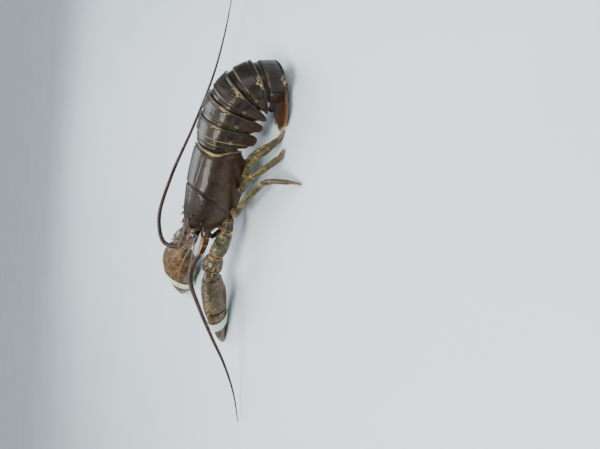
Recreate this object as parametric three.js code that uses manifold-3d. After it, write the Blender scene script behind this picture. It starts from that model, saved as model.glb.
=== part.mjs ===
// American lobster at rest, life size, millimetres, +Z up, head toward -Y, its own left side toward +X.
// The carapace is measured from the rim of the eye socket to its rear edge: that length sets the whole animal.

import * as THREE from "three";
import { mergeVertices } from "three/addons/utils/BufferGeometryUtils.js";
import Module from "manifold-3d";

const wasm = await Module();
wasm.setup();

// Driving dimensions of the body

const CARAPACE_LENGTH = 100;
const ORBIT_Y = -CARAPACE_LENGTH / 2;
const REAR_Y = CARAPACE_LENGTH / 2;
const ROSTRUM_TIP = new THREE.Vector3(0, -85, 67);
const GAP = 0.3;
// This animal is stout for its length: across and in height against the stations below
const STOUT = new THREE.Vector3(1.08, 1, 1.1);
const SHELL_LIP = 2.6;

// Carapace stations: y, half width, height of the back, height of the lower edge
const CARAPACE_STATIONS = [
  [-54, 12.5, 62.5, 33],
  [-50, 16, 64, 29],
  [-35, 22.5, 67, 24],
  [-15, 26.5, 69.5, 21],
  [10, 28, 71, 20],
  [35, 27, 70.5, 23],
  [50, 24.5, 69, 30],
];

// Path of the abdomen: distance along it, turn toward the left, slope
const ABDOMEN_START = new THREE.Vector3(0, 41, 50.5);
const ABDOMEN_LENGTH = 118;
const ABDOMEN_PATH = [
  [0, 0, 4],
  [28, 7, 0],
  [54, 14, -8],
  [78, 21, -28],
  [98, 26, -56],
  [ABDOMEN_LENGTH, 28, -81],
];

// Where each abdomen ring starts and ends, its half width, the height of its plate and the drop of its side lobes
const SOMITES = [
  { from: 0, to: 15, width: 26, height: 18.6, lobe: 17 },
  { from: 15, to: 37, width: 27.5, height: 19.8, lobe: 32 },
  { from: 37, to: 58, width: 28, height: 19.8, lobe: 32.5 },
  { from: 58, to: 79, width: 27, height: 19.4, lobe: 31.5 },
  { from: 79, to: 98, width: 25, height: 18.4, lobe: 26.5 },
  { from: 98, to: ABDOMEN_LENGTH, width: 22.5, height: 16.6, lobe: 17 },
];

// Tail fan
const FAN_PITCH = -171;
const TELSON_LENGTH = 39;
const TELSON_WIDTH = 26;

// Eyes
const EYE_CENTRE = new THREE.Vector3(12.6, -57.5, 57.5);
const EYE_RADIUS = 4.1;

// Claws: length, half width, half thickness of the palm
const CRUSHER = { length: 110, width: 26, thick: 15.5 };
const CUTTER = { length: 105, width: 21.5, thick: 12.5 };

// Small helpers

const vec = (x, y, z) => new THREE.Vector3(x, y, z);
const rad = THREE.MathUtils.degToRad;
const clamp = THREE.MathUtils.clamp;

function seeded(seed) {
  let state = seed;
  return () => {
    state = (state * 1664525 + 1013904223) % 4294967296;
    return state / 4294967296;
  };
}

// A smooth value read off a list of rows whose first column rises
function smooth(rows, at) {
  const last = rows.length - 1;
  const t = clamp(at, rows[0][0], rows[last][0]);
  let i = 0;
  while (i < last - 1 && t > rows[i + 1][0]) i += 1;
  const a = rows[Math.max(i - 1, 0)];
  const b = rows[i];
  const c = rows[i + 1];
  const d = rows[Math.min(i + 2, last)];
  const span = c[0] - b[0];
  const f = (t - b[0]) / span;
  return b.slice(1).map((value, k) => {
    const column = k + 1;
    const m0 = i === 0 ? c[column] - value : ((c[column] - a[column]) / (c[0] - a[0])) * span;
    const m1 = i === last - 1 ? c[column] - value : ((d[column] - value) / (d[0] - b[0])) * span;
    const f2 = f * f;
    const f3 = f2 * f;
    return (
      (2 * f3 - 3 * f2 + 1) * value +
      (f3 - 2 * f2 + f) * m0 +
      (-2 * f3 + 3 * f2) * c[column] +
      (f3 - f2) * m1
    );
  });
}

function toSolid(positions, triangles) {
  const flat = new Float32Array(positions.flatMap((p) => [p.x, p.y, p.z]));
  let volume = 0;
  for (const [a, b, c] of triangles) {
    volume += positions[a].dot(positions[b].clone().cross(positions[c]));
  }
  const faces = volume < 0 ? triangles.map(([a, b, c]) => [a, c, b]) : triangles;
  const raw = new wasm.Mesh({
    numProp: 3,
    vertProperties: flat,
    triVerts: new Uint32Array(faces.flat()),
  });
  return new wasm.Manifold(raw);
}

// A closed body skinned over rings of equal count, its two ends closed with fans
function skin(rings) {
  const count = rings[0].length;
  const points = rings.flat();
  const faces = [];
  for (let r = 0; r < rings.length - 1; r += 1) {
    for (let k = 0; k < count; k += 1) {
      const a = r * count + k;
      const b = r * count + ((k + 1) % count);
      faces.push([a, b, b + count], [a, b + count, a + count]);
    }
  }
  const ends = [
    [0, true],
    [rings.length - 1, false],
  ];
  for (const [r, first] of ends) {
    const middle = vec(0, 0, 0);
    for (const p of rings[r]) middle.add(p);
    middle.divideScalar(count);
    const centre = points.push(middle) - 1;
    for (let k = 0; k < count; k += 1) {
      const a = r * count + k;
      const b = r * count + ((k + 1) % count);
      faces.push(first ? [centre, b, a] : [centre, a, b]);
    }
  }
  return toSolid(points, faces);
}

function fromGeometry(geometry, matrix) {
  const bare = geometry.clone();
  bare.deleteAttribute("normal");
  bare.deleteAttribute("uv");
  if (matrix) bare.applyMatrix4(matrix);
  const merged = mergeVertices(bare, 1e-4);
  const position = merged.getAttribute("position");
  const points = [];
  for (let i = 0; i < position.count; i += 1) {
    points.push(vec(position.getX(i), position.getY(i), position.getZ(i)));
  }
  const index = merged.getIndex().array;
  const faces = [];
  for (let i = 0; i < index.length; i += 3) {
    const face = [index[i], index[i + 1], index[i + 2]];
    if (new Set(face).size === 3) faces.push(face);
  }
  return toSolid(points, faces);
}

function fuse(parts) {
  return parts.reduce((sum, part) => sum.add(part));
}

function largest(body) {
  const pieces = body.simplify(0.05).decompose();
  return pieces.reduce((best, piece) => (piece.volume() > best.volume() ? piece : best));
}

function onFloor(body) {
  return body.trimByPlane([0, 0, 1], 0);
}

// A frame looking along a direction: side and up are square to it
function frameAlong(direction, upHint = vec(0, 0, 1)) {
  const along = direction.clone().normalize();
  const side = along.clone().cross(upHint).normalize();
  const up = side.clone().cross(along).normalize();
  return { along, side, up };
}

function ellipseRing(centre, side, up, halfSide, halfUp, sides, power = 1) {
  const ring = [];
  for (let k = 0; k < sides; k += 1) {
    const angle = (2 * Math.PI * (k + 0.5)) / sides;
    const c = Math.cos(angle);
    const s = Math.sin(angle);
    const x = Math.sign(c) * Math.abs(c) ** power * halfSide;
    const y = Math.sign(s) * Math.abs(s) ** power * halfUp;
    ring.push(centre.clone().addScaledVector(side, x).addScaledVector(up, y));
  }
  return ring;
}

// A straight article of a limb. Rows are: share of its length, half width, half thickness
function article(from, to, rows, options = {}) {
  const { sides = 7, upHint = vec(0, 0, 1), grow = 0, bow = 0 } = options;
  const { along, side, up } = frameAlong(to.clone().sub(from), upHint);
  const length = to.distanceTo(from);
  const rings = rows.map(([share, w, h]) => {
    const centre = from.clone().addScaledVector(along, length * share);
    centre.addScaledVector(up, bow * 4 * share * (1 - share));
    return ellipseRing(centre, side, up, w + grow, h + grow, sides);
  });
  if (grow > 0) {
    for (const p of rings[0]) p.addScaledVector(along, -grow);
    for (const p of rings[rings.length - 1]) p.addScaledVector(along, grow);
  }
  return skin(rings);
}

function ball(centre, radius, sides = 10, squash = vec(1, 1, 1)) {
  const matrix = new THREE.Matrix4().compose(
    centre,
    new THREE.Quaternion(),
    squash.clone().multiplyScalar(radius),
  );
  return fromGeometry(new THREE.SphereGeometry(1, sides, Math.max(5, Math.round(sides * 0.6))), matrix);
}

// A tapering spine rooted in the shell under it
function spine(root, direction, length, radius, sides = 5) {
  const along = direction.clone().normalize();
  const start = root.clone().addScaledVector(along, -radius * 1.2);
  const { side, up } = frameAlong(along, Math.abs(along.z) > 0.9 ? vec(0, 1, 0) : vec(0, 0, 1));
  const tip = root.clone().addScaledVector(along, length);
  const low = ellipseRing(start, side, up, radius, radius, sides);
  const points = [...low, start, tip];
  const faces = [];
  for (let k = 0; k < sides; k += 1) {
    const next = (k + 1) % sides;
    faces.push([k, next, sides + 1], [next, k, sides]);
  }
  return toSolid(points, faces);
}

// A round tube along a curve, tapering from one radius to another
function whip(curve, fromShare, toShare, radiusAt, steps, sides = 6) {
  const rings = [];
  for (let i = 0; i <= steps; i += 1) {
    const share = fromShare + ((toShare - fromShare) * i) / steps;
    const centre = curve.getPointAt(share);
    const { side, up } = frameAlong(curve.getTangentAt(share));
    const r = radiusAt(share);
    rings.push(ellipseRing(centre, side, up, r, r, sides));
  }
  return skin(rings);
}

const nodes = new Map();

function place(name, body, colour, roughness = 0.42) {
  nodes.set(name, { body: largest(body), colour, roughness });
}

const mirror = (p, side) => vec(p.x * side, p.y, p.z);
const SIDES = [
  ["left", 1],
  ["right", -1],
];

// Carapace: an arched shell whose rear edge sweeps forward on the shoulders and back on the flanks

const FLANK = rad(118);

function carapaceRear(theta) {
  const t = Math.abs(theta) / FLANK;
  return REAR_Y + smooth([[0, -1], [0.3, -5], [0.55, -6], [0.8, 0], [1, 1.5]], t)[0];
}

function carapaceFront(theta) {
  const t = Math.abs(theta) / FLANK;
  return ORBIT_Y + smooth([[0, -4], [0.3, -3], [0.6, 0], [1, 9]], t)[0];
}

function grooveAt(theta) {
  const t = Math.abs(theta) / FLANK;
  return smooth([[0, 0], [0.35, -3], [0.7, -14], [1, -30]], t)[0];
}

function carapacePoint(y, theta, inset = 0) {
  const [w, top, low] = smooth(CARAPACE_STATIONS, y);
  const sideZ = low + (top - low) * 0.4;
  const c = Math.cos(theta);
  const s = Math.sin(theta);
  if (c >= 0) {
    const x = Math.sign(s) * Math.abs(s) ** 0.9 * (w - inset);
    return vec(x, y, sideZ + (top - inset - sideZ) * c ** 0.82);
  }
  const drop = -c / -Math.cos(FLANK);
  return vec(Math.sign(s) * (w - inset) * (1 - 0.16 * drop * drop), y, sideZ + (low - sideZ) * drop);
}

// Rows run front, groove front edge, groove floor, groove rear edge, rear
function carapaceRowY(row, theta) {
  const front = carapaceFront(theta);
  const groove = grooveAt(theta);
  const rear = carapaceRear(theta);
  if (row <= 5) return front + ((groove - 2.6 - front) * row) / 5;
  if (row === 6) return groove;
  if (row === 7) return groove + 2.2;
  return groove + 2.2 + ((rear - 1.6 - groove - 2.2) * (row - 7)) / 6;
}

function carapaceRing(row, columns) {
  const ring = [];
  for (let k = 0; k <= columns; k += 1) {
    const theta = -FLANK + (2 * FLANK * k) / columns;
    const y = row === 14 ? carapaceRear(theta) : carapaceRowY(row, theta);
    let inset = 0;
    if (row === 6) inset = 1.3 * (1 - 0.6 * Math.abs(theta / FLANK));
    if (row === 12) inset = 0.9;
    ring.push(carapacePoint(y, theta, inset));
  }
  const start = ring[0];
  const end = ring[columns];
  const inner = [0.86, 0.5, -0.5, -0.86];
  for (const share of inner) {
    const x = (Math.abs(end.x) - SHELL_LIP) * share;
    const lift = Math.abs(share) > 0.6 ? 3 : 6;
    ring.push(vec(x, (start.y + end.y) / 2, (start.z + end.z) / 2 + lift));
  }
  return ring;
}

const CARAPACE_COLUMNS = 20;
const carapaceRings = [];
for (let row = 0; row <= 14; row += 1) {
  if (row !== 13) carapaceRings.push(carapaceRing(row, CARAPACE_COLUMNS));
}
const carapaceShell = skin(carapaceRings);

// Rostrum: a spined beak between the eyes
const ROSTRUM_ROWS = [
  [-42, 7.5, 62.5, 4.5],
  [-52, 6.6, 63.2, 4.6],
  [-60, 4.6, 64, 4],
  [-72, 2.9, 65.4, 2.8],
  [-82, 1.2, 66.7, 1.4],
];
const rostrumRings = ROSTRUM_ROWS.map(([y, w, z, h]) =>
  ellipseRing(vec(0, y, z), vec(1, 0, 0), vec(0, 0, 1), w, h / 1.4, 8),
);
rostrumRings.push(ellipseRing(ROSTRUM_TIP, vec(1, 0, 0), vec(0, 0, 1), 0.35, 0.35, 8));
const headSpines = [];
for (const [, side] of SIDES) {
  headSpines.push(spine(vec(4.4 * side, -59, 65), vec(0.5 * side, -1, 0.25), 6.5, 1.3));
  headSpines.push(spine(vec(3.2 * side, -67, 65.6), vec(0.5 * side, -1, 0.25), 5.6, 1.1));
  headSpines.push(spine(vec(2.1 * side, -75, 66.3), vec(0.5 * side, -1, 0.2), 4.4, 0.9));
  headSpines.push(spine(vec(10.8 * side, -50, 63), vec(0.15 * side, -1, 0.35), 5.2, 1.5));
  headSpines.push(spine(vec(17.2 * side, -47, 51), vec(0.45 * side, -1, 0.1), 5.5, 1.5));
  headSpines.push(spine(vec(9.5 * side, -40, 66), vec(0.1 * side, -1, 0.5), 3.6, 1.2));
}
const orbits = SIDES.map(([, side]) => ball(mirror(EYE_CENTRE, side), EYE_RADIUS + 2.6, 12));

// Thorax: the underside between the legs, closed at the front by the mouth frame

const THORAX_STATIONS = [
  [-52, 9, 8, 52, 36],
  [-46, 13, 9, 52, 27],
  [-34, 17, 9, 40, 20],
  [-15, 20, 10, 34, 17],
  [10, 21, 9.5, 34, 16],
  [34, 20, 8, 36, 18],
  [46, 15, 6.5, 40, 28],
];

function thoraxRing(y, grow = 0) {
  const [w, bottom, top, low] = smooth(THORAX_STATIONS, y);
  const g = grow;
  return [
    vec(w + g, y, top + g),
    vec(-w - g, y, top + g),
    vec(-w - g, y, (top + low) / 2 + 2),
    vec(-bottom - g, y, low - g),
    vec(0, y, low - 1 - g),
    vec(bottom + g, y, low - g),
    vec(w + g, y, (top + low) / 2 + 2),
  ];
}

const THORAX_YS = [-52, -46, -40, -30, -15, 0, 15, 30, 40, 46];
const thoraxBody = skin(THORAX_YS.map((y) => thoraxRing(y)));
const thoraxCutter = skin(THORAX_YS.map((y) => thoraxRing(y + (y < 0 ? -GAP : GAP), GAP)));

// Eyes on short stalks

for (const [name, side] of SIDES) {
  const centre = mirror(EYE_CENTRE, side);
  const stalk = article(vec(5.2 * side, -50, 58), centre, [[0, 2.4, 2.4], [0.75, 2.6, 2.8], [1, 3, 3]]);
  const globe = ball(centre, EYE_RADIUS, 12, vec(1, 1, 1.08));
  const body = fuse([stalk, globe]);
  place(`eye_${name}`, body, 0x0c0b0c, 0.08);
}

const eyeRoots = SIDES.map(([, side]) =>
  article(
    vec(5.2 * side, -50, 58),
    mirror(EYE_CENTRE, side),
    [[0, 2.4, 2.4], [0.75, 2.6, 2.8], [1, 3, 3]],
    { grow: GAP },
  ),
);

// Feelers: short forked pair and long pair on stout three-part bases

const antennaBases = [];
const antennuleRoots = [];
for (const [name, side] of SIDES) {
  const root = vec(5 * side, -48, 50.5);
  const knee = vec(5.6 * side, -64, 51);
  const wrist = vec(6.4 * side, -72, 53);
  const base = fuse([
    article(root, knee, [[0, 2.2, 2.4], [0.3, 2.7, 2.6], [1, 2.2, 2.2]]),
    article(knee, wrist, [[-0.1, 2, 2], [0.5, 1.9, 1.9], [1, 1.4, 1.5]]),
  ]);
  antennuleRoots.push(article(root, knee, [[0, 2.2, 2.4], [0.3, 2.7, 2.6], [1, 2.2, 2.2]], { grow: GAP }));
  const upper = new THREE.CatmullRomCurve3([
    vec(6.2 * side, -70.5, 53.2),
    vec(8 * side, -88, 60),
    vec(13 * side, -106, 66),
    vec(21 * side, -122, 67),
  ]);
  const lower = new THREE.CatmullRomCurve3([
    vec(6.8 * side, -70.5, 52.4),
    vec(11 * side, -88, 54),
    vec(20 * side, -102, 58),
    vec(32 * side, -112, 60),
  ]);
  const thin = (share) => 0.95 - 0.6 * share;
  const forks = [whip(upper, 0, 1, thin, 9, 5), whip(lower, 0, 1, thin, 9, 5)];
  place(`antennule_${name}`, fuse([base, ...forks]), 0x4a2c1d);

  const a = vec(11.5 * side, -48, 45.5);
  const b = vec(15 * side, -60, 45.5);
  const c = vec(17.5 * side, -68.5, 46.5);
  const d = vec(18.5 * side, -79, 49);
  const scale = skin([
    ellipseRing(vec(18 * side, -56, 50), vec(1, 0, 0), vec(0, 0, 1), 2.2, 1.1, 6),
    ellipseRing(vec(20.2 * side, -63, 51), vec(1, 0, 0), vec(0, 0, 1), 3.6, 1.2, 6),
    ellipseRing(vec(21.4 * side, -71, 52), vec(1, 0, 0), vec(0, 0, 1), 2.5, 1, 6),
    ellipseRing(vec(22.2 * side, -79, 53), vec(1, 0, 0), vec(0, 0, 1), 0.5, 0.5, 6),
  ]);
  const parts = (grow) => [
    article(a, b, [[0, 5, 5], [0.35, 6, 5.6], [1, 5.2, 4.8]], { grow }),
    article(b, c, [[-0.25, 4.4, 4.2], [0.5, 4.8, 4.6], [1, 4.1, 3.9]], { grow }),
    article(c, d, [[-0.15, 3.6, 3.5], [0.5, 3.9, 3.7], [1, 3.1, 3]], { grow }),
  ];
  const grown = fuse(parts(GAP));
  antennaBases.push(grown);
  const spikes = [
    spine(vec(17.5 * side, -57, 47), vec(0.6 * side, -1, 0.3), 8, 1.5),
    spine(vec(12.5 * side, -62, 42.5), vec(0, -1, -0.3), 5, 1.3),
  ];
  place(`antenna_base_${name}`, fuse([...parts(0), scale, ...spikes]), 0x5a3a24);
}

const LEFT_ANTENNA = new THREE.CatmullRomCurve3([
  vec(18.5, -79.6, 49.2),
  vec(21, -92, 55),
  vec(36, -106, 61),
  vec(54, -124, 56),
  vec(74, -150, 45),
  vec(88, -185, 27),
  vec(98, -222, 12),
  vec(110, -256, 4),
]);
const RIGHT_ANTENNA = new THREE.CatmullRomCurve3([
  vec(-18.5, -79.6, 49.2),
  vec(-24, -92, 57),
  vec(-45, -97, 67),
  vec(-66, -74, 70),
  vec(-75, -20, 62),
  vec(-76, 50, 47),
  vec(-80, 118, 34),
  vec(-90, 168, 27),
  vec(-106, 218, 21),
]);
const antennaRadius = (share) => 2.5 * (1 - share) ** 0.8 + 0.45;
const flagella = [
  ["left", LEFT_ANTENNA, 11],
  ["right", RIGHT_ANTENNA, 14],
];
for (const [name, curve, steps] of flagella) {
  const split = 0.004;
  const near = whip(curve, 0, 0.45, antennaRadius, steps, 7).subtract(fuse(antennaBases));
  place(`antenna_${name}_near`, near, 0x4a2a1b, 0.35);
  place(`antenna_${name}_far`, whip(curve, 0.45 + split / 2, 1, antennaRadius, steps, 6), 0x3c2117, 0.35);
}

// Abdomen: six overlapping rings along a path that bends to the left and down

function abdomenPath() {
  const steps = ABDOMEN_LENGTH * 2;
  const points = [{ s: 0, at: ABDOMEN_START.clone() }];
  for (let i = 1; i <= steps; i += 1) {
    const s = i / 2;
    const [yaw, pitch] = smooth(ABDOMEN_PATH, s - 0.25).map(rad);
    const step = vec(
      Math.sin(yaw) * Math.cos(pitch),
      Math.cos(yaw) * Math.cos(pitch),
      Math.sin(pitch),
    ).multiplyScalar(0.5);
    points.push({ s, at: points[i - 1].at.clone().add(step) });
  }
  return points;
}

const PATH_POINTS = abdomenPath();

function frameOf(at, yawDegrees, pitchDegrees) {
  const yaw = rad(yawDegrees);
  const pitch = rad(pitchDegrees);
  const along = vec(
    Math.sin(yaw) * Math.cos(pitch),
    Math.cos(yaw) * Math.cos(pitch),
    Math.sin(pitch),
  );
  const side = vec(Math.cos(yaw), -Math.sin(yaw), 0);
  const up = side.clone().cross(along);
  return { at, along, side, up };
}

function abdomenFrame(s) {
  const clamped = clamp(s, 0, ABDOMEN_LENGTH);
  const i = Math.min(Math.floor(clamped * 2), PATH_POINTS.length - 2);
  const f = clamped * 2 - i;
  const at = PATH_POINTS[i].at.clone().lerp(PATH_POINTS[i + 1].at, f);
  const [yaw, pitch] = smooth(ABDOMEN_PATH, clamped);
  return frameOf(at, yaw, pitch);
}

const inFrame = (frame, u, w, d = 0) =>
  frame.at
    .clone()
    .addScaledVector(frame.side, u)
    .addScaledVector(frame.up, w)
    .addScaledVector(frame.along, d);

// How the plate swells and the side lobe drops along one ring: share, swell, lobe share, lobe shift
const SOMITE_ROWS = [
  [0, 0.93, 0.72, 0],
  [0.16, 0.945, 0.82, 0],
  [0.24, 0.99, 0.92, 0],
  [0.5, 1, 1, 0],
  [0.78, 1, 0.98, 0],
  [0.92, 1.005, 0.86, 0],
  [1, 0.995, 0.68, 0],
];
const FIRST_ROWS = [
  [0, 0.78, 0.6, 0],
  [0.35, 0.8, 0.8, 0],
  [0.55, 0.93, 1, 0],
  [1, 0.96, 0.8, 0],
];

function somiteRing(frame, width, height, lobe, back) {
  const ring = [];
  const half = [];
  for (let k = 0; k <= 6; k += 1) {
    const phi = (Math.PI / 2) * (k / 6);
    half.push([width * Math.sin(phi) ** 0.92, height * Math.cos(phi) ** 0.85]);
  }
  half.push([width * 1.01, -lobe * 0.3]);
  half.push([width * 0.985, -lobe * 0.68]);
  half.push([width * 0.9, -lobe]);
  half.push([width * 0.9 - 2, -lobe + 0.8]);
  half.push([width * 0.84, -Math.min(9, lobe * 0.6)]);
  half.push([width * 0.5, -9.5]);
  for (const [u, w] of half) {
    const lean = w < -lobe * 0.5 ? back : 0;
    ring.push(inFrame(frame, u, w, lean));
  }
  for (let k = half.length - 1; k > 0; k -= 1) {
    const [u, w] = half[k];
    const lean = w < -lobe * 0.5 ? back : 0;
    ring.push(inFrame(frame, -u, w, lean));
  }
  return ring;
}

const swimmerets = (index) => {
  const somite = SOMITES[index];
  const middle = abdomenFrame((somite.from + somite.to) / 2);
  return SIDES.flatMap(([, side]) => {
    const root = inFrame(middle, 9 * side, -7, 0);
    const joint = inFrame(middle, 11 * side, -13, 1);
    const tip = inFrame(middle, 9 * side, -21, 5);
    const stem = article(root, joint, [[0, 1.9, 1.9], [1, 1.5, 1.5]], { sides: 6, upHint: middle.side });
    const blade = article(
      joint,
      tip,
      [[-0.1, 1, 1], [0.3, 2, 1], [0.75, 2.3, 0.9], [1, 0.8, 0.6]],
      { sides: 6, upHint: middle.along },
    );
    return [stem, blade];
  });
};

let firstRingGrown = null;

SOMITES.forEach((somite, index) => {
  const rows = index === 0 ? FIRST_ROWS : SOMITE_ROWS;
  const from = somite.from + 0.25;
  const to = somite.to - 0.25;
  const rings = rows.map(([share, swell, drop, back]) => {
    const frame = abdomenFrame(from + (to - from) * share);
    return somiteRing(frame, somite.width * swell, somite.height * swell, somite.lobe * drop, back);
  });
  if (index === 0) {
    firstRingGrown = skin(
      rows.map(([share, swell, drop, back]) => {
        const frame = abdomenFrame(from + (to - from) * share);
        const w = somite.width * swell + GAP;
        const h = somite.height * swell + GAP;
        const ring = somiteRing(frame, w, h, somite.lobe * drop + 3, back);
        return share === 0 ? ring.map((p) => p.addScaledVector(frame.along, -GAP)) : ring;
      }),
    );
  }
  let body = skin(rings);
  if (index >= 1 && index <= 4) body = fuse([body, ...swimmerets(index)]);
  place(`abdomen_${index + 1}`, onFloor(body), 0x2e231a, 0.3);
});

// Tail fan: the middle plate and two plates on each side, folded forward under the body

const tailEnd = abdomenFrame(ABDOMEN_LENGTH);
const fanRoot = inFrame(tailEnd, 0, -1, 6);
const fan = frameOf(fanRoot, 28, FAN_PITCH);

function plate(root, frame, angle, rows, thick, dome, grow = 0) {
  const turn = rad(angle);
  const along = frame.along.clone().multiplyScalar(Math.cos(turn));
  along.addScaledVector(frame.side, Math.sin(turn));
  const side = frame.side.clone().multiplyScalar(Math.cos(turn));
  side.addScaledVector(frame.along, -Math.sin(turn));
  const rings = rows.map(([distance, w, t], row) => {
    const stretch = row === 0 ? -grow : row === rows.length - 1 ? grow : 0;
    const centre = root.clone().addScaledVector(along, distance + stretch);
    const ring = [];
    for (const share of [-1, -0.6, 0, 0.6, 1]) {
      const rim = Math.abs(share) === 1;
      const lift = rim ? thick * t * 0.18 : dome * (1 - share * share) + (thick * t) / 2;
      const p = centre.clone().addScaledVector(side, (w + grow) * share);
      ring.push(p.addScaledVector(frame.up, lift + grow));
    }
    for (const share of [1, 0.6, 0, -0.6, -1]) {
      const rim = Math.abs(share) === 1;
      const p = centre.clone().addScaledVector(side, (w + grow) * share);
      ring.push(p.addScaledVector(frame.up, (-thick * t) / (rim ? 5.5 : 2) - grow));
    }
    return ring;
  });
  return skin(rings);
}

const TELSON_ROWS = [
  [0, 0.72, 1.3],
  [0.08, 0.95, 1.2],
  [0.3, 1, 1],
  [0.7, 0.88, 0.8],
  [0.9, 0.72, 0.6],
  [1, 0.34, 0.35],
];
const telson = (grow) =>
  plate(
    fan.at,
    fan,
    0,
    TELSON_ROWS.map(([d, w, t]) => [d * TELSON_LENGTH, (w * TELSON_WIDTH) / 2, t]),
    4.4,
    1.2,
    grow,
  );
place("telson", onFloor(telson(0)), 0x3a2216);

const UROPOD_ROWS = [
  [0, 0.3, 1.2],
  [0.15, 0.55, 1.2],
  [0.45, 0.95, 1],
  [0.75, 1, 0.8],
  [0.93, 0.75, 0.6],
  [1, 0.35, 0.35],
];
const UROPODS = [
  ["inner", 12, 12, 40, 10.6, -1.4, 3.2],
  ["outer", 16.5, 25, 40, 11.4, -3.4, 3.2],
];
for (const [name, side] of SIDES) {
  let taken = telson(GAP);
  for (const [kind, offset, angle, length, half, drop, thick] of UROPODS) {
    const root = fan.at
      .clone()
      .addScaledVector(fan.side, offset * side)
      .addScaledVector(fan.up, drop);
    const rows = UROPOD_ROWS.map(([d, w, t]) => [d * length, w * half, t]);
    const turn = angle * side;
    const body = plate(root, fan, turn, rows, thick, 0.8).subtract(taken);
    taken = taken.add(plate(root, fan, turn, rows, thick, 0.8, GAP));
    place(`uropod_${kind}_${name}`, onFloor(body), 0x45281a);
  }
}

// Claw-bearing legs

// The claw is one closed form in its own frame: x along, y toward the movable finger, z across the thickness
const CRUSHER_ROWS = [
  [-0.02, 0.2, 0.3, 0],
  [0.04, 0.48, 0.6, 0],
  [0.16, 0.8, 0.86, 0],
  [0.34, 1, 1, 0.01],
  [0.52, 0.96, 0.93, 0.02],
  [0.68, 0.78, 0.76, 0.01],
  [0.82, 0.55, 0.56, 0],
  [0.93, 0.32, 0.34, -0.01],
  [1, 0.09, 0.12, -0.02],
];
const CUTTER_ROWS = [
  [-0.02, 0.22, 0.3, 0],
  [0.04, 0.5, 0.62, 0],
  [0.16, 0.84, 0.9, 0],
  [0.34, 1, 1, 0.01],
  [0.52, 0.9, 0.86, 0.02],
  [0.68, 0.7, 0.64, 0.015],
  [0.82, 0.5, 0.46, 0.005],
  [0.93, 0.3, 0.3, -0.005],
  [1, 0.1, 0.13, -0.015],
];

function clawFrame(wrist, tip, inward, roll) {
  const along = tip.clone().sub(wrist).normalize();
  const flat = vec(0, 0, 1).cross(along).normalize();
  const across = flat.clone().multiplyScalar(inward);
  const matrix = new THREE.Matrix4();
  across.applyAxisAngle(along, rad(roll));
  const up = along.clone().cross(across).normalize();
  matrix.makeBasis(along, across, up);
  matrix.setPosition(wrist);
  return matrix;
}

function clawEnvelope(spec, rows, grow) {
  const rings = rows.map(([share, w, t, shift]) => {
    const end = share <= 0 ? -grow : share >= 1 ? grow : 0;
    const centre = vec(share * spec.length + end, shift * spec.length, 0);
    return ellipseRing(
      centre,
      vec(0, 1, 0),
      vec(0, 0, 1),
      w * spec.width + grow,
      t * spec.thick + grow,
      16,
      0.92,
    );
  });
  return skin(rings);
}

// The slit between the fingers: two edges with teeth, joined behind the hinge of the movable finger
function slitSolid(spec, teeth, gape) {
  const L = spec.length;
  const start = 0.5;
  const lower = [];
  const upper = [];
  const steps = teeth * 2;
  for (let i = 0; i <= steps; i += 1) {
    const share = start + (1.04 - start) * (i / steps);
    const fade = Math.sin(Math.PI * clamp((share - start) / (0.96 - start), 0, 1));
    const middle = 0.02 * L * Math.sin(Math.PI * (share - start) * 1.6) - 0.01 * L;
    const wave = (i % 2 === 0 ? 1 : -1) * 0.55 * gape * fade;
    lower.push([share * L, middle - 0.3 - 0.5 * gape * fade + wave]);
    upper.push([share * L, middle + 0.3 + 0.5 * gape * fade + wave * 0.9]);
  }
  const hinge = [
    [0.455 * L, 0.14 * L],
    [0.47 * L, 0.5 * L],
    [0.455 * L, 0.5 * L],
    [0.44 * L, 0.135 * L],
    [0.478 * L, -0.01 * L - 0.6],
  ];
  const outline = new THREE.Shape();
  const all = [...upper.slice().reverse(), ...hinge, ...lower];
  outline.moveTo(all[0][0], all[0][1]);
  for (const [x, y] of all.slice(1)) outline.lineTo(x, y);
  outline.closePath();
  const flat = new THREE.ExtrudeGeometry(outline, { depth: 80, bevelEnabled: false });
  flat.translate(0, 0, -40);
  return fromGeometry(flat);
}

function clawParts(spec, rows, matrix, teeth, gape, tubercles, seed) {
  const random = seeded(seed);
  const parts = [clawEnvelope(spec, rows, 0)];
  for (let i = 0; i < tubercles; i += 1) {
    const share = 0.1 + (0.32 * i) / (tubercles - 1);
    const [w, , shift] = smooth(rows, share);
    const root = vec(share * spec.length, w * spec.width * 0.93 + shift * spec.length, 1.5);
    parts.push(spine(root, vec(0.45, 1, 0.25), 5 + 1.5 * random(), 2.3));
  }
  const whole = fuse(parts);
  const split = whole.subtract(slitSolid(spec, teeth, gape)).decompose();
  const sorted = split.sort((p, q) => q.volume() - p.volume());
  const m = Array.from(matrix.elements);
  return {
    propodus: sorted[0].transform(m),
    dactyl: sorted[1].transform(m),
    grown: clawEnvelope(spec, rows, GAP).transform(m),
    band: bandSolid(spec, rows).transform(m),
  };
}

const BAND_FROM = 0.6;
const BAND_TO = 0.72;

function bandSolid(spec, rows) {
  const shell = clawEnvelope(spec, rows, 2).subtract(clawEnvelope(spec, rows, GAP));
  const width = (BAND_TO - BAND_FROM) * spec.length;
  const cut = new THREE.BoxGeometry(width, 200, 200);
  cut.translate((BAND_FROM + BAND_TO) * 0.5 * spec.length, 0, 0);
  return shell.intersect(fromGeometry(cut));
}

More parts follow.
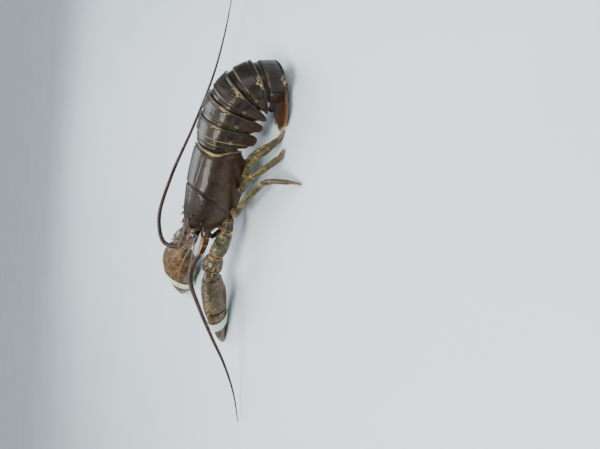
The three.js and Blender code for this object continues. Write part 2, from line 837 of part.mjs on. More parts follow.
const CHELIPEDS = {
  left: {
    spec: CUTTER,
    rows: CUTTER_ROWS,
    coxa: vec(14.2, -31, 26),
    ischium: vec(21.5, -38, 26),
    merus: vec(25.5, -46, 27),
    carpus: vec(28, -76, 35),
    wrist: vec(22, -101, 34),
    tip: vec(33, -204, 1),
    roll: 38,
    teeth: 9,
    gape: 1,
    spikes: 6,
    seed: 7,
  },
  right: {
    spec: CRUSHER,
    rows: CRUSHER_ROWS,
    coxa: vec(-14.2, -31, 26),
    ischium: vec(-23, -39, 26),
    merus: vec(-31, -48, 28),
    carpus: vec(-54, -86, 36),
    wrist: vec(-69, -114, 36),
    tip: vec(-104, -216, 5.3),
    roll: -30,
    teeth: 5,
    gape: 1.7,
    spikes: 6,
    seed: 19,
  },
};

const thoraxSockets = [];

for (const [name, side] of SIDES) {
  const c = CHELIPEDS[name];
  const scale = name === "right" ? 1.1 : 1;
  const matrix = clawFrame(c.wrist, c.tip, side, c.roll);
  const claw = clawParts(c.spec, c.rows, matrix, c.teeth, c.gape, c.spikes, c.seed);
  place(`claw_${name}`, onFloor(claw.propodus), 0x5b4126, 0.4);
  place(`claw_finger_${name}`, onFloor(claw.dactyl), 0x5b4126, 0.4);
  place(`band_${name}`, onFloor(claw.band), 0xa8b59a, 0.55);

  const carpusRows = [[0, 6.5, 6.5], [0.2, 10, 9.5], [0.55, 12.5, 11], [0.85, 11, 10], [1, 7.5, 7]];
  const scaled = (rows) => rows.map(([s, w, h]) => [s, w * scale, h * scale]);
  const carpusEnd = c.wrist.clone().lerp(c.carpus, 0.03);
  const carpusBody = (grow) =>
    article(c.carpus, carpusEnd, scaled(carpusRows), { sides: 12, grow });
  const toWrist = c.wrist.clone().sub(c.carpus).normalize();
  const outward = vec(0, 0, 1).cross(toWrist).multiplyScalar(side);
  const carpusSpines = [
    [0.35, 10.5, 3, 6],
    [0.68, 10.8, 3, 7],
    [0.5, 6, 9, 5],
    [0.82, 5, 8, 5],
    [0.3, 2, 9, 4],
    [0.75, -6, 7.5, 4.5],
  ].map(([share, u, w, length]) => {
    const root = c.carpus.clone().lerp(c.wrist, share);
    const direction = outward.clone().multiplyScalar(u);
    direction.add(vec(0, 0, w));
    root.addScaledVector(direction, 0.86 * scale);
    direction.addScaledVector(toWrist, 6);
    return spine(root, direction, length, 1.8);
  });
  const carpus = fuse([carpusBody(0), ...carpusSpines]).subtract(claw.grown);
  place(`claw_wrist_${name}`, carpus, 0x5b4126, 0.4);

  const merusRows = [[0, 5, 6.5], [0.3, 6.5, 8.5], [0.75, 8, 9.5], [1, 7, 8]];
  const merusBody = (grow) =>
    article(c.merus, c.carpus, scaled(merusRows), { sides: 10, grow });
  const toCarpus = c.carpus.clone().sub(c.merus).normalize();
  const merusSpines = [
    [0.82, 0.2, 1, 5],
    [0.9, 0.9, 0.4, 5],
    [0.55, 0.1, 1, 3.5],
  ].map(([share, u, w, length]) => {
    const root = c.merus.clone().lerp(c.carpus, share);
    const direction = vec(0, 0, 1).cross(toCarpus).multiplyScalar(side * u);
    direction.add(vec(0, 0, w)).normalize();
    root.addScaledVector(direction, 7.6 * scale);
    direction.addScaledVector(toCarpus, 0.8);
    return spine(root, direction, length, 1.5);
  });
  const merus = fuse([merusBody(0), ...merusSpines]).subtract(carpusBody(GAP));
  place(`claw_arm_${name}`, merus, 0x4a3620, 0.4);

  const hip = (grow) =>
    fuse([
      article(c.coxa, c.ischium, [[0, 6, 6], [0.5, 7, 7], [1, 6.4, 6.4]], { grow }),
      article(c.ischium, c.merus, [[-0.2, 5.6, 5.8], [0.5, 6, 6.4], [1, 5.4, 5.8]], { grow }),
    ]);
  place(`claw_hip_${name}`, hip(0).subtract(merusBody(GAP)), 0x5a4a2a, 0.4);
  thoraxSockets.push(hip(GAP));
}

// Walking legs: hip, knee, wrist, ankle and toe of each, the first two pairs with small pincers

const LEGS = {
  left: [
    [vec(15, -15, 25), vec(27, -22, 23), vec(62, 31, 21.5), vec(74, 38, 20), vec(86, 43, 7), vec(94.5, 45, 0.2)],
    [vec(15, 4, 25), vec(26, 9, 22), vec(50, 34, 27), vec(55, 45, 19), vec(54, 58, 6), vec(52, 68, 0.2)],
    [vec(14, 20, 25), vec(24, 26, 21), vec(43, 54, 23), vec(46, 65, 15), vec(44, 77, 5), vec(42, 86, 0.2)],
    [vec(12, 34, 25), vec(20, 40, 20), vec(34, 60, 17), vec(38, 68, 10), vec(40, 77, 3.6), vec(41, 85, 0.2)],
  ],
  right: [
    [vec(-15, -13, 26), vec(-27, -13, 22), vec(-70, -22, 38), vec(-87, -27, 30), vec(-107, -35, 9), vec(-116, -40, 0.2)],
    [vec(-15, 4, 26), vec(-27, 7, 22), vec(-68, 18, 38), vec(-84, 23, 29), vec(-104, 32, 9), vec(-113, 37, 0.2)],
    [vec(-14, 20, 26), vec(-25, 25, 22), vec(-58, 50, 34), vec(-71, 60, 26), vec(-86, 76, 9), vec(-93, 85, 0.2)],
    [vec(-12, 34, 26), vec(-21, 41, 22), vec(-46, 72, 30), vec(-55, 84, 22), vec(-66, 99, 8), vec(-71, 108, 0.2)],
  ],
};

const LEG_SCALES = [1.08, 1.04, 0.95, 0.86];

for (const [name] of SIDES) {
  LEGS[name].forEach((points, index) => {
    const k = LEG_SCALES[index];
    const [hip, socket, knee, wrist, ankle, toe] = points;
    const grownRows = (rows) => rows.map(([s, w, h]) => [s, w * k, h * k]);
    const upHint = vec(0, 0, 1);
    const carpus = (grow) =>
      article(knee, wrist, grownRows([[0, 2.6, 3], [0.5, 3.1, 3.6], [1, 2.9, 3.4]]), { grow, upHint });
    const coxa = article(hip, socket, grownRows([[0, 4.6, 5], [0.55, 5, 5.4], [1, 3.8, 4.2]]), { upHint });
    const coxaGrown = article(hip, socket, grownRows([[0, 4.6, 5], [0.55, 5, 5.4], [1, 3.8, 4.2]]), {
      upHint,
      grow: GAP,
    });
    const merus = article(
      socket,
      knee,
      grownRows([[-0.06, 3, 3.2], [0.1, 3.3, 3.9], [0.16, 2.9, 3.5], [0.22, 3.2, 4.3], [0.6, 3, 4], [1, 2.9, 3.5]]),
      { upHint, bow: 1.5 },
    );
    const upper = fuse([coxa, merus]).subtract(carpus(GAP));
    place(`leg_${index + 1}_upper_${name}`, upper, 0x6a5a30, 0.4);
    thoraxSockets.push(coxaGrown);

    const parts = [carpus(0)];
    if (index < 2) {
      const hand = article(
        wrist,
        ankle,
        grownRows([[-0.08, 2.4, 2.8], [0.3, 2.6, 3.3], [0.8, 2.6, 3.6], [1, 2.2, 3.2]]),
        { upHint },
      );
      const { side, up } = frameAlong(toe.clone().sub(ankle));
      const upperTip = toe.clone().addScaledVector(up, 2.2);
      parts.push(hand);
      parts.push(article(
        ankle.clone().addScaledVector(up, 1.3).addScaledVector(side, 0.2),
        upperTip,
        [[-0.2, 1.6, 1.5], [0.4, 1.3, 1.2], [1, 0.4, 0.35]],
        { sides: 6, upHint },
      ));
      parts.push(article(
        ankle.clone().addScaledVector(up, -1.4),
        toe,
        [[-0.2, 1.6, 1.5], [0.4, 1.3, 1.2], [1, 0.6, 0.55]],
        { sides: 6, upHint },
      ));
    } else {
      parts.push(article(
        wrist,
        ankle,
        grownRows([[-0.08, 2.4, 2.8], [0.4, 2.4, 2.9], [1, 1.7, 2]]),
        { upHint },
      ));
      parts.push(article(ankle, toe, [[-0.15, 1.6, 1.8], [0.5, 1.3, 1.4], [1, 0.6, 0.6]], {
        sides: 6,
        upHint,
      }));
    }
    place(`leg_${index + 1}_lower_${name}`, onFloor(fuse(parts)), 0x54401f, 0.4);
  });
}

// Outer mouthparts, held forward under the head

for (const [name, side] of SIDES) {
  const root = vec(5 * side, -30, 22);
  const elbow = vec(7.5 * side, -52, 25);
  const fist = vec(7 * side, -62, 33);
  const end = vec(6 * side, -56, 40);
  const arm = (grow) => article(root, elbow, [[0, 3.4, 4], [0.4, 3.9, 4.6], [1, 3, 3.6]], { grow });
  const body = fuse([
    arm(0),
    article(elbow, fist, [[-0.15, 2.6, 3], [0.5, 2.9, 3.2], [1, 2.3, 2.6]]),
    article(fist, end, [[-0.15, 2.1, 2.3], [0.5, 1.9, 2], [1, 0.9, 0.9]], { sides: 6 }),
  ]);
  place(`mouthpart_${name}`, body, 0x5a4426, 0.45);
  thoraxSockets.push(arm(GAP));
}

// The thorax gives way to every limb root, the carapace to the thorax, the eyes and the feelers

const thorax = [...thoraxSockets, ...antennaBases, ...antennuleRoots, ...eyeRoots].reduce(
  (body, cutter) => body.subtract(cutter),
  thoraxBody,
);
place("thorax", thorax, 0x6b5a38, 0.5);

let carapace = fuse([carapaceShell, skin(rostrumRings)]);
const insets = [...antennaBases, ...antennuleRoots, ...eyeRoots, thoraxCutter, firstRingGrown.hull()];
for (const cutter of [...orbits, ...insets]) {
  carapace = carapace.subtract(cutter);
}
carapace = fuse([largest(carapace), ...headSpines]);
for (const cutter of [...thoraxSockets, ...orbits, ...antennaBases, ...eyeRoots]) {
  carapace = carapace.subtract(cutter);
}
place("carapace", carapace, 0x2e231a, 0.28);

// The animal stands centred over the origin with its feet on the floor

const whole = new THREE.Box3();
const group = new THREE.Group();
const built = [];
for (const [name, { body, colour, roughness }] of nodes) {
  const raw = body.getMesh();
  const geometry = new THREE.BufferGeometry();
  const positions = [];
  for (let i = 0; i < raw.vertProperties.length; i += raw.numProp) {
    positions.push(raw.vertProperties[i], raw.vertProperties[i + 1], raw.vertProperties[i + 2]);
  }
  geometry.setAttribute("position", new THREE.Float32BufferAttribute(positions, 3));
  geometry.setIndex(Array.from(raw.triVerts));
  geometry.scale(STOUT.x, STOUT.y, STOUT.z);
  geometry.computeBoundingBox();
  whole.union(geometry.boundingBox);
  built.push([name, geometry, colour, roughness]);
}
const middle = whole.getCenter(vec(0, 0, 0));
for (const [name, geometry, colour, roughness] of built) {
  geometry.translate(-middle.x, -middle.y, -whole.min.z);
  geometry.computeVertexNormals();
  const material = new THREE.MeshStandardMaterial({ color: colour, roughness, metalness: 0 });
  const mesh = new THREE.Mesh(geometry, material);
  mesh.name = name;
  group.add(mesh);
}

export default group;
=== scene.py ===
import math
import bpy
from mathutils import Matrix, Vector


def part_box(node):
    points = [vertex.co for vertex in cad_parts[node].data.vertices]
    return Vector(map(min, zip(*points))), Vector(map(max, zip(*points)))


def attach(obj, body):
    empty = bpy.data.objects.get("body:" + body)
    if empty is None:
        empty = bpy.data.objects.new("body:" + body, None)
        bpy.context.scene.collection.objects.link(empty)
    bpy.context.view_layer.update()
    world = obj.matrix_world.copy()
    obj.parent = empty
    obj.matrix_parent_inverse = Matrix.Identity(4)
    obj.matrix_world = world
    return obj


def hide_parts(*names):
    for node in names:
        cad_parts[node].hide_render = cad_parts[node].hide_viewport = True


bl_info = {
    "name": "American lobster",
    "version": (1, 0, 0),
    "blender": (4, 5, 0),
    "location": "View3D > Sidebar > Lobster",
    "description": "Life-size american lobster at rest, dressed over its fixed frame",
    "category": "Object",
}

import bmesh
import bpy
import numpy as np
from mathutils import Matrix, Vector

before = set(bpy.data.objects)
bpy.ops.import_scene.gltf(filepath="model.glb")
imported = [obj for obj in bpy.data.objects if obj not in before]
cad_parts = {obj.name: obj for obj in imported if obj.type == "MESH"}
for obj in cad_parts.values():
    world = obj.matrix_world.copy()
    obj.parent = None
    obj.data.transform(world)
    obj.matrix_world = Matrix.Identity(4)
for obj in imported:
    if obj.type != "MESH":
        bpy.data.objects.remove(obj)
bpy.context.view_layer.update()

# Sizes in millimetres, in the animal's own frame: head toward -Y, left side toward +X

STOUT = np.array([1.08, 1.0, 1.1])
BEAK_REACH = 85.0
SHELL_BOX = [np.array(corner) * 1000 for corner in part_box("carapace")]
SHIFT = np.array([(SHELL_BOX[0][0] + SHELL_BOX[1][0]) / 2, SHELL_BOX[0][1] + BEAK_REACH, 0.0])

# No point of a solid piece goes lower than this above the floor
LOWEST = 0.02

ORBIT_Y = -50.0
REAR_Y = 50.0
FLANK_DEGREES = 118
FLANK = math.radians(FLANK_DEGREES)
EYE_CENTRE = np.array([12.6, -57.5, 57.5])
EYE_RADIUS = 4.1

CARAPACE = [
    [-54, 12.5, 62.5, 33],
    [-50, 16, 64, 29],
    [-35, 22.5, 67, 24],
    [-15, 26.5, 69.5, 21],
    [10, 28, 71, 20],
    [35, 27, 70.5, 23],
    [50, 24.5, 69, 30],
]
THORAX = [
    [-52, 9, 8, 52, 36],
    [-46, 13, 9, 52, 27],
    [-34, 17, 9, 40, 20],
    [-15, 20, 10, 34, 17],
    [10, 21, 9.5, 34, 16],
    [34, 20, 8, 36, 18],
    [46, 15, 6.5, 40, 28],
]
ABDOMEN_START = np.array([0.0, 41.0, 50.5])
ABDOMEN_LENGTH = 118.0
ABDOMEN_PATH = [
    [0, 0, 4],
    [28, 7, 0],
    [54, 14, -8],
    [78, 21, -28],
    [98, 26, -56],
    [118, 28, -81],
]
RINGS = [
    (0, 15, 26, 18.6, 17),
    (15, 37, 27.5, 19.8, 32),
    (37, 58, 28, 19.8, 32.5),
    (58, 79, 27, 19.4, 31.5),
    (79, 98, 25, 18.4, 26.5),
    (98, 118, 22.5, 16.6, 17),
]
ARCH = 72
RING_ROWS = [
    [0, 0.93, 0.72],
    [0.16, 0.945, 0.82],
    [0.24, 0.99, 0.92],
    [0.5, 1, 1],
    [0.78, 1, 0.98],
    [0.92, 1.005, 0.86],
    [1, 0.995, 0.68],
]
FIRST_ROWS = [[0, 0.78, 0.6], [0.35, 0.8, 0.8], [0.55, 0.93, 1], [1, 0.96, 0.8]]
FAN_PITCH = -171.0
TELSON_LENGTH = 39.0
TELSON_WIDTH = 26.0
TELSON_ROWS = [
    [0, 0.72, 1.3], [0.08, 0.95, 1.2], [0.3, 1, 1],
    [0.7, 0.88, 0.8], [0.9, 0.72, 0.6], [1, 0.34, 0.35],
]
UROPOD_ROWS = [
    [0, 0.3, 1.2], [0.15, 0.55, 1.2], [0.45, 0.95, 1],
    [0.75, 1, 0.8], [0.93, 0.75, 0.6], [1, 0.35, 0.35],
]
UROPODS = {"inner": (12, 12, 40, 10.6, -1.4, 3.2), "outer": (16.5, 25, 40, 11.4, -3.4, 3.2)}

CLAW_ROWS = {
    "right": [
        [-0.02, 0.2, 0.3, 0],
        [0.04, 0.48, 0.6, 0],
        [0.16, 0.8, 0.86, 0],
        [0.34, 1, 1, 0.01],
        [0.52, 0.96, 0.93, 0.02],
        [0.68, 0.78, 0.76, 0.01],
        [0.82, 0.55, 0.56, 0],
        [0.93, 0.32, 0.34, -0.01],
        [1, 0.09, 0.12, -0.02],
    ],
    "left": [
        [-0.02, 0.22, 0.3, 0],
        [0.04, 0.5, 0.62, 0],
        [0.16, 0.84, 0.9, 0],
        [0.34, 1, 1, 0.01],
        [0.52, 0.9, 0.86, 0.02],
        [0.68, 0.7, 0.64, 0.015],
        [0.82, 0.5, 0.46, 0.005],
        [0.93, 0.3, 0.3, -0.005],
        [1, 0.1, 0.13, -0.015],
    ],
}
CLAWS = {
    "left": {
        "size": (105, 21.5, 12.5),
        "coxa": (14.2, -31, 26),
        "ischium": (21.5, -38, 26),
        "merus": (25.5, -46, 27),
        "carpus": (28, -76, 35),
        "wrist": (22, -101, 34),
        "tip": (33, -204, 1),
        "roll": 38,
        "teeth": 9,
        "gape": 1.0,
        "thorns": 6,
        "scale": 1.0,
    },
    "right": {
        "size": (110, 26, 15.5),
        "coxa": (-14.2, -31, 26),
        "ischium": (-23, -39, 26),
        "merus": (-31, -48, 28),
        "carpus": (-54, -86, 36),
        "wrist": (-69, -114, 36),
        "tip": (-104, -216, 5.3),
        "roll": -30,
        "teeth": 5,
        "gape": 1.7,
        "thorns": 6,
        "scale": 1.1,
    },
}
BAND = (0.6, 0.72)

# Bristles: least and greatest share of their length, and how far the lowest stay above the floor, in metres
BRISTLE_SIZES = (0.6, 1.15)
BRISTLE_CLEARANCE = 0.00025

# Length and thickness of a bristle, in metres
MOUTH_BRISTLE = (0.0034, 0.00018)
LEG_BRISTLE = (0.0022, 0.00014)
FRINGE_THICKNESS = 0.00016

LEGS = {
    "left": [
        [(15, -15, 25), (27, -22, 23), (62, 31, 21.5), (74, 38, 20), (86, 43, 7), (94.5, 45, 0.2)],
        [(15, 4, 25), (26, 9, 22), (50, 34, 27), (55, 45, 19), (54, 58, 6), (52, 68, 0.2)],
        [(14, 20, 25), (24, 26, 21), (43, 54, 23), (46, 65, 15), (44, 77, 5), (42, 86, 0.2)],
        [(12, 34, 25), (20, 40, 20), (34, 60, 17), (38, 68, 10), (40, 77, 3.6), (41, 85, 0.2)],
    ],
    "right": [
        [(-15, -13, 26), (-27, -13, 22), (-70, -22, 38), (-87, -27, 30), (-107, -35, 9), (-116, -40, 0.2)],
        [(-15, 4, 26), (-27, 7, 22), (-68, 18, 38), (-84, 23, 29), (-104, 32, 9), (-113, 37, 0.2)],
        [(-14, 20, 26), (-25, 25, 22), (-58, 50, 34), (-71, 60, 26), (-86, 76, 9), (-93, 85, 0.2)],
        [(-12, 34, 26), (-21, 41, 22), (-46, 72, 30), (-55, 84, 22), (-66, 99, 8), (-71, 108, 0.2)],
    ],
}
LEG_SCALES = [1.08, 1.04, 0.95, 0.86]

ANTENNAE = {
    "left": [
        (18.5, -79.6, 49.2),
        (21, -92, 55),
        (36, -106, 61),
        (54, -124, 56),
        (74, -150, 45),
        (88, -185, 27),
        (98, -222, 12),
        (110, -256, 4),
    ],
    "right": [
        (-18.5, -79.6, 49.2),
        (-24, -92, 57),
        (-45, -97, 67),
        (-66, -74, 70),
        (-75, -20, 62),
        (-76, 50, 47),
        (-80, 118, 34),
        (-90, 168, 27),
        (-106, 218, 21),
    ],
}

FEELER_POINTS = 400
FEELER_SPLIT = 180

UP = np.array([0.0, 0.0, 1.0])
SIDES = (("left", 1), ("right", -1))


# Plain geometry helpers


def vec(*values):
    return np.array(values, float)


def unit(v):
    return v / np.linalg.norm(v)


def on_side(point, side):
    return vec(point[0] * side, *point[1:])


def turns(count):
    return np.linspace(0, 2 * np.pi, count, endpoint=False)


def powered(x, power):
    return np.sign(x) * np.abs(x) ** power


def hermite(f, start, start_slope, end, end_slope):
    f2, f3 = f * f, f * f * f
    first = (2 * f3 - 3 * f2 + 1) * start + (f3 - 2 * f2 + f) * start_slope
    return first + (-2 * f3 + 3 * f2) * end + (f3 - f2) * end_slope


def smooth(rows, at):
    """Values between the rows of a table, on a smooth line through them."""
    rows = np.asarray(rows, float)
    at = np.asarray(at, float)
    x = rows[:, 0]
    t = np.clip(at, x[0], x[-1])
    last = len(x) - 1
    i = np.clip(np.searchsorted(x, t, side="right") - 1, 0, last - 1)
    a, b, c, d = rows[np.maximum(i - 1, 0)], rows[i], rows[i + 1], rows[np.minimum(i + 2, last)]
    span = (c[..., 0] - b[..., 0])[..., None]
    f = ((t - b[..., 0]) / span[..., 0])[..., None]
    first, end = (i == 0)[..., None], (i == last - 1)[..., None]
    wide_a = np.where(first, 1, (c[..., 0] - a[..., 0])[..., None])
    wide_d = np.where(end, 1, (d[..., 0] - b[..., 0])[..., None])
    m0 = np.where(first, c - b, (c - a) / wide_a * span)
    m1 = np.where(end, c - b, (d - b) / wide_d * span)
    return hermite(f, b, m0, c, m1)[..., 1:]


def bump(x, middle, width):
    return np.exp(-(((x - middle) / width) ** 2))


def step(x, low, high):
    t = np.clip((x - low) / (high - low), 0, 1)
    return t * t * (3 - 2 * t)


HASH = (374761393, 668265263, 2147483647)


def grain(points, size, seed):
    """Smooth random values from -1 to 1 over space, one grain about `size` millimetres across."""
    p = np.asarray(points) / size + seed * 17.3
    base = np.floor(p).astype(np.int64)
    f = p - base
    f = f * f * (3 - 2 * f)
    total = 0.0
    for corner in np.ndindex(2, 2, 2):
        n = sum((base[..., k] + corner[k]) * HASH[k] for k in range(3))
        n = (n ^ (n >> 13)) * 1274126177
        value = ((n ^ (n >> 16)) & 0xFFFF) / 32767.5 - 1
        wx, wy, wz = (f[..., k] if corner[k] else 1 - f[..., k] for k in range(3))
        total = total + value * wx * wy * wz
    return total


def through(points, per):
    """A smooth line through the points, `per` steps between each two."""
    p = np.asarray(points, float)
    rows = np.column_stack([np.arange(len(p)), p])
    return smooth(rows, np.linspace(0, len(p) - 1, (len(p) - 1) * per + 1))


def even_curve(points, count):
    dense = centripetal(points)
    length = np.concatenate([[0], np.cumsum(np.linalg.norm(np.diff(dense, axis=0), axis=1))])
    at = np.linspace(0, length[-1], count)
    return np.column_stack([np.interp(at, length, dense[:, k]) for k in range(3)])


def centripetal(points):
    """The same centripetal curve through the points as the solids follow."""
    p = np.asarray(points, float)
    p = np.vstack([2 * p[0] - p[1], p, 2 * p[-1] - p[-2]])
    out = []
    for i in range(1, len(p) - 2):
        p0, p1, p2, p3 = p[i - 1], p[i], p[i + 1], p[i + 2]
        d = [max(np.linalg.norm(b - a) ** 0.5, 1e-4) for a, b in ((p0, p1), (p1, p2), (p2, p3))]
        t1 = ((p1 - p0) / d[0] - (p2 - p0) / (d[0] + d[1]) + (p2 - p1) / d[1]) * d[1]
        t2 = ((p2 - p1) / d[1] - (p3 - p1) / (d[1] + d[2]) + (p3 - p2) / d[2]) * d[1]
        for f in np.linspace(0, 1, 40, endpoint=False):
            out.append(hermite(f, p1, t1, p2, t2))
    out.append(p[-2])
    return np.array(out)


def axes_along(direction, hint=UP):
    along = unit(direction)
    side = unit(np.cross(along, hint))
    return along, side, unit(np.cross(side, along))


def grid_normals(grid):
    down = np.gradient(grid, axis=0)
    across = np.roll(grid, -1, axis=1) - np.roll(grid, 1, axis=1)
    n = np.cross(down, across)
    size = np.linalg.norm(n, axis=2, keepdims=True)
    n = n / np.maximum(size, 1e-9)
    middle = grid.mean(axis=1, keepdims=True)
    if ((grid - middle) * n).sum() < 0:
        n = -n
    return n


def relax(grid, times, keep=None):
    """Evens out the points round each ring. Those in `keep` stay where they are."""
    for _ in range(times):
        mean = (np.roll(grid, 1, axis=1) + np.roll(grid, -1, axis=1)) / 2
        moved = grid * 0.5 + mean * 0.5
        if keep is not None:
            moved = np.where(keep[..., None], grid, moved)
        grid = moved
    return grid


def blank_tint(grid):
    return np.zeros(grid.shape[:2] + (4,))


def new_object(name, data):
    made = bpy.data.objects.new(name, data)
    bpy.context.scene.collection.objects.link(made)
    return made


# Edges between faces that turn by more than this stay sharp
SHARP_EDGE = math.radians(48)


class Shape:
    """Closed pieces gathered for one node. The tint of each point is pale, warm, dark and spotted."""

    def __init__(self):
        self.points, self.faces, self.tints, self.count = [], [], [], 0

    def add(self, points, quads, ends, tints):
        """Adds one closed form, with its faces turned outward."""
        triangles = np.vstack([quads[:, [0, 1, 2]], quads[:, [0, 2, 3]], *ends])
        a, b, c = (points[triangles[:, j]] for j in range(3))
        faces = quads.tolist() + [face for end in ends for face in end.tolist()]
        if (a * np.cross(b, c)).sum() < 0:
            faces = [face[::-1] for face in faces]
        self.faces += [[n + self.count for n in face] for face in faces]
        self.points.append(points)
        self.tints.append(tints)
        self.count += len(points)

    def grid(self, rings, tint, caps=3):
        """A skin over rings of points, closed at both ends."""
        if caps:
            first, last = rings[0].mean(axis=0), rings[-1].mean(axis=0)
            shrink = [k / (caps + 1) for k in range(1, caps + 1)]
            start = np.array([first + (rings[0] - first) * s for s in shrink])
            end = np.array([last + (rings[-1] - last) * s for s in reversed(shrink)])
            rings = np.concatenate([start, rings, end])
            tint = np.concatenate([np.repeat(tint[:1], caps, 0), tint, np.repeat(tint[-1:], caps, 0)])
        r, k = rings.shape[:2]
        index = np.arange(r * k).reshape(r, k)
        right = np.roll(index, -1, axis=1)
        quads = np.stack([index[:-1], right[:-1], right[1:], index[1:]], axis=-1).reshape(-1, 4)
        centre = np.array([rings[0].mean(axis=0), rings[-1].mean(axis=0)])
        first = np.stack([right[0], index[0], np.full(k, r * k)], axis=-1)
        last = np.stack([index[-1], right[-1], np.full(k, r * k + 1)], axis=-1)
        tints = np.vstack([tint.reshape(-1, 4), tint[0].mean(axis=0), tint[-1].mean(axis=0)])
        self.add(np.vstack([rings.reshape(-1, 3), centre]), quads, [first, last], tints)

    def loop(self, rings):
        """A skin over rings of points that close on themselves."""
        r, k = rings.shape[:2]
        index = np.arange(r * k).reshape(r, k)
        right, below = np.roll(index, -1, axis=1), np.roll(index, -1, axis=0)
        corner = np.roll(right, -1, axis=0)
        quads = np.stack([index, right, corner, below], axis=-1).reshape(-1, 4)
        self.add(rings.reshape(-1, 3), quads, [], np.zeros((r * k, 4)))

    def tube(
        self, start, end, rows, rings=30, sides=28, bow=0.0, hint=UP,
        rough=0.12, size=1.6, tint=None, seed=1, mottle=0.0,
    ):
        """An article of a limb. Rows are: share of its length, half width, half thickness."""
        start, end = np.asarray(start, float), np.asarray(end, float)
        along, side, up = axes_along(end - start, hint)
        length = np.linalg.norm(end - start)
        share = np.linspace(rows[0][0], rows[-1][0], rings)
        wide = smooth(rows, share)
        angle = turns(sides)
        centre = start + along * (length * share)[:, None] + up * (bow * 4 * share * (1 - share))[:, None]
        grid = (
            centre[:, None]
            + side * (np.cos(angle)[None, :] * wide[:, :1])[..., None]
            + up * (np.sin(angle)[None, :] * wide[:, 1:2])[..., None]
        )
        grid = grid + grid_normals(grid) * (grain(grid, size, seed) * rough)[..., None]
        grid = round_ends(grid)
        colour = blank_tint(grid)
        if tint is not None:
            colour = tint(share, np.sin(angle), colour)
        colour[..., 0] += mottle * np.clip(grain(grid, 3.0, seed + 5) + 0.1, 0, 1)
        self.grid(grid, np.clip(colour, 0, 1))

    def thorn(self, root, direction, length, radius, tint=(0.1, 0.9, 0, 0), bend=0.15, sides=10):
        """A spine that starts a little under the surface and bends up toward its tip."""
        root, direction = np.asarray(root, float), np.asarray(direction, float)
        hint = vec(0, 1, 0) if abs(unit(direction)[2]) > 0.9 else UP
        along, side, up = axes_along(direction, hint)
        share = np.linspace(0, 1, 9)
        angle = turns(sides)
        wide = radius * (1.0 - share) ** 0.75 + 0.12
        wide[:2] = radius * 1.35, radius * 1.02
        at = root + along * (-radius * 1.1 + (length + radius * 1.1) * share)[:, None]
        at = at + up * (bend * length * share**2)[:, None]
        grid = at[:, None] + side * (np.cos(angle) * wide[:, None])[..., None]
        grid = grid + up * (np.sin(angle) * wide[:, None])[..., None]
        colour = blank_tint(grid)
        colour[...] = np.array(tint) * step(share, 0.1, 0.8)[:, None, None]
        self.grid(grid, colour, caps=0)

    def make(self, name):
        points = np.vstack(self.points) * STOUT + SHIFT
        points[:, 2] = np.maximum(points[:, 2], LOWEST)
        mesh = bpy.data.meshes.new(name)
        mesh.from_pydata((points / 1000).tolist(), [], self.faces)
        colour = mesh.attributes.new("tint", "FLOAT_COLOR", "POINT")
        colour.data.foreach_set("color", np.vstack(self.tints).astype(np.float32).ravel())
        mesh.polygons.foreach_set("use_smooth", [True] * len(mesh.polygons))
        mesh.set_sharp_from_angle(angle=SHARP_EDGE)
        mesh.update()
        return new_object(name, mesh)


def round_ends(grid):
    """Draws the last rings in a little, so that an article's ends look worn and not cut."""
    grid = grid.copy()
    for k, share in ((0, 0.86), (1, 0.96), (-1, 0.86), (-2, 0.96)):
        middle = grid[k].mean(axis=0)
        grid[k] = middle + (grid[k] - middle) * share
    return grid


def finish_piece(piece, node, kind):
    piece.data.materials.clear()
    piece.data.materials.append(material(kind))
    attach(piece, "root")
    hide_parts(node)


# Materials


def node(tree, kind, **settings):
    made = tree.nodes.new(kind)
    for key, value in settings.items():
        setattr(made, key, value)
    return made


def calculate(tree, kind, a, b=None):
    made = node(tree, "ShaderNodeMath", operation=kind)
    for socket, value in zip(made.inputs, (a, b)):
        if isinstance(value, (int, float)):
            socket.default_value = value
        elif value is not None:
            tree.links.new(value, socket)
    return made.outputs[0]


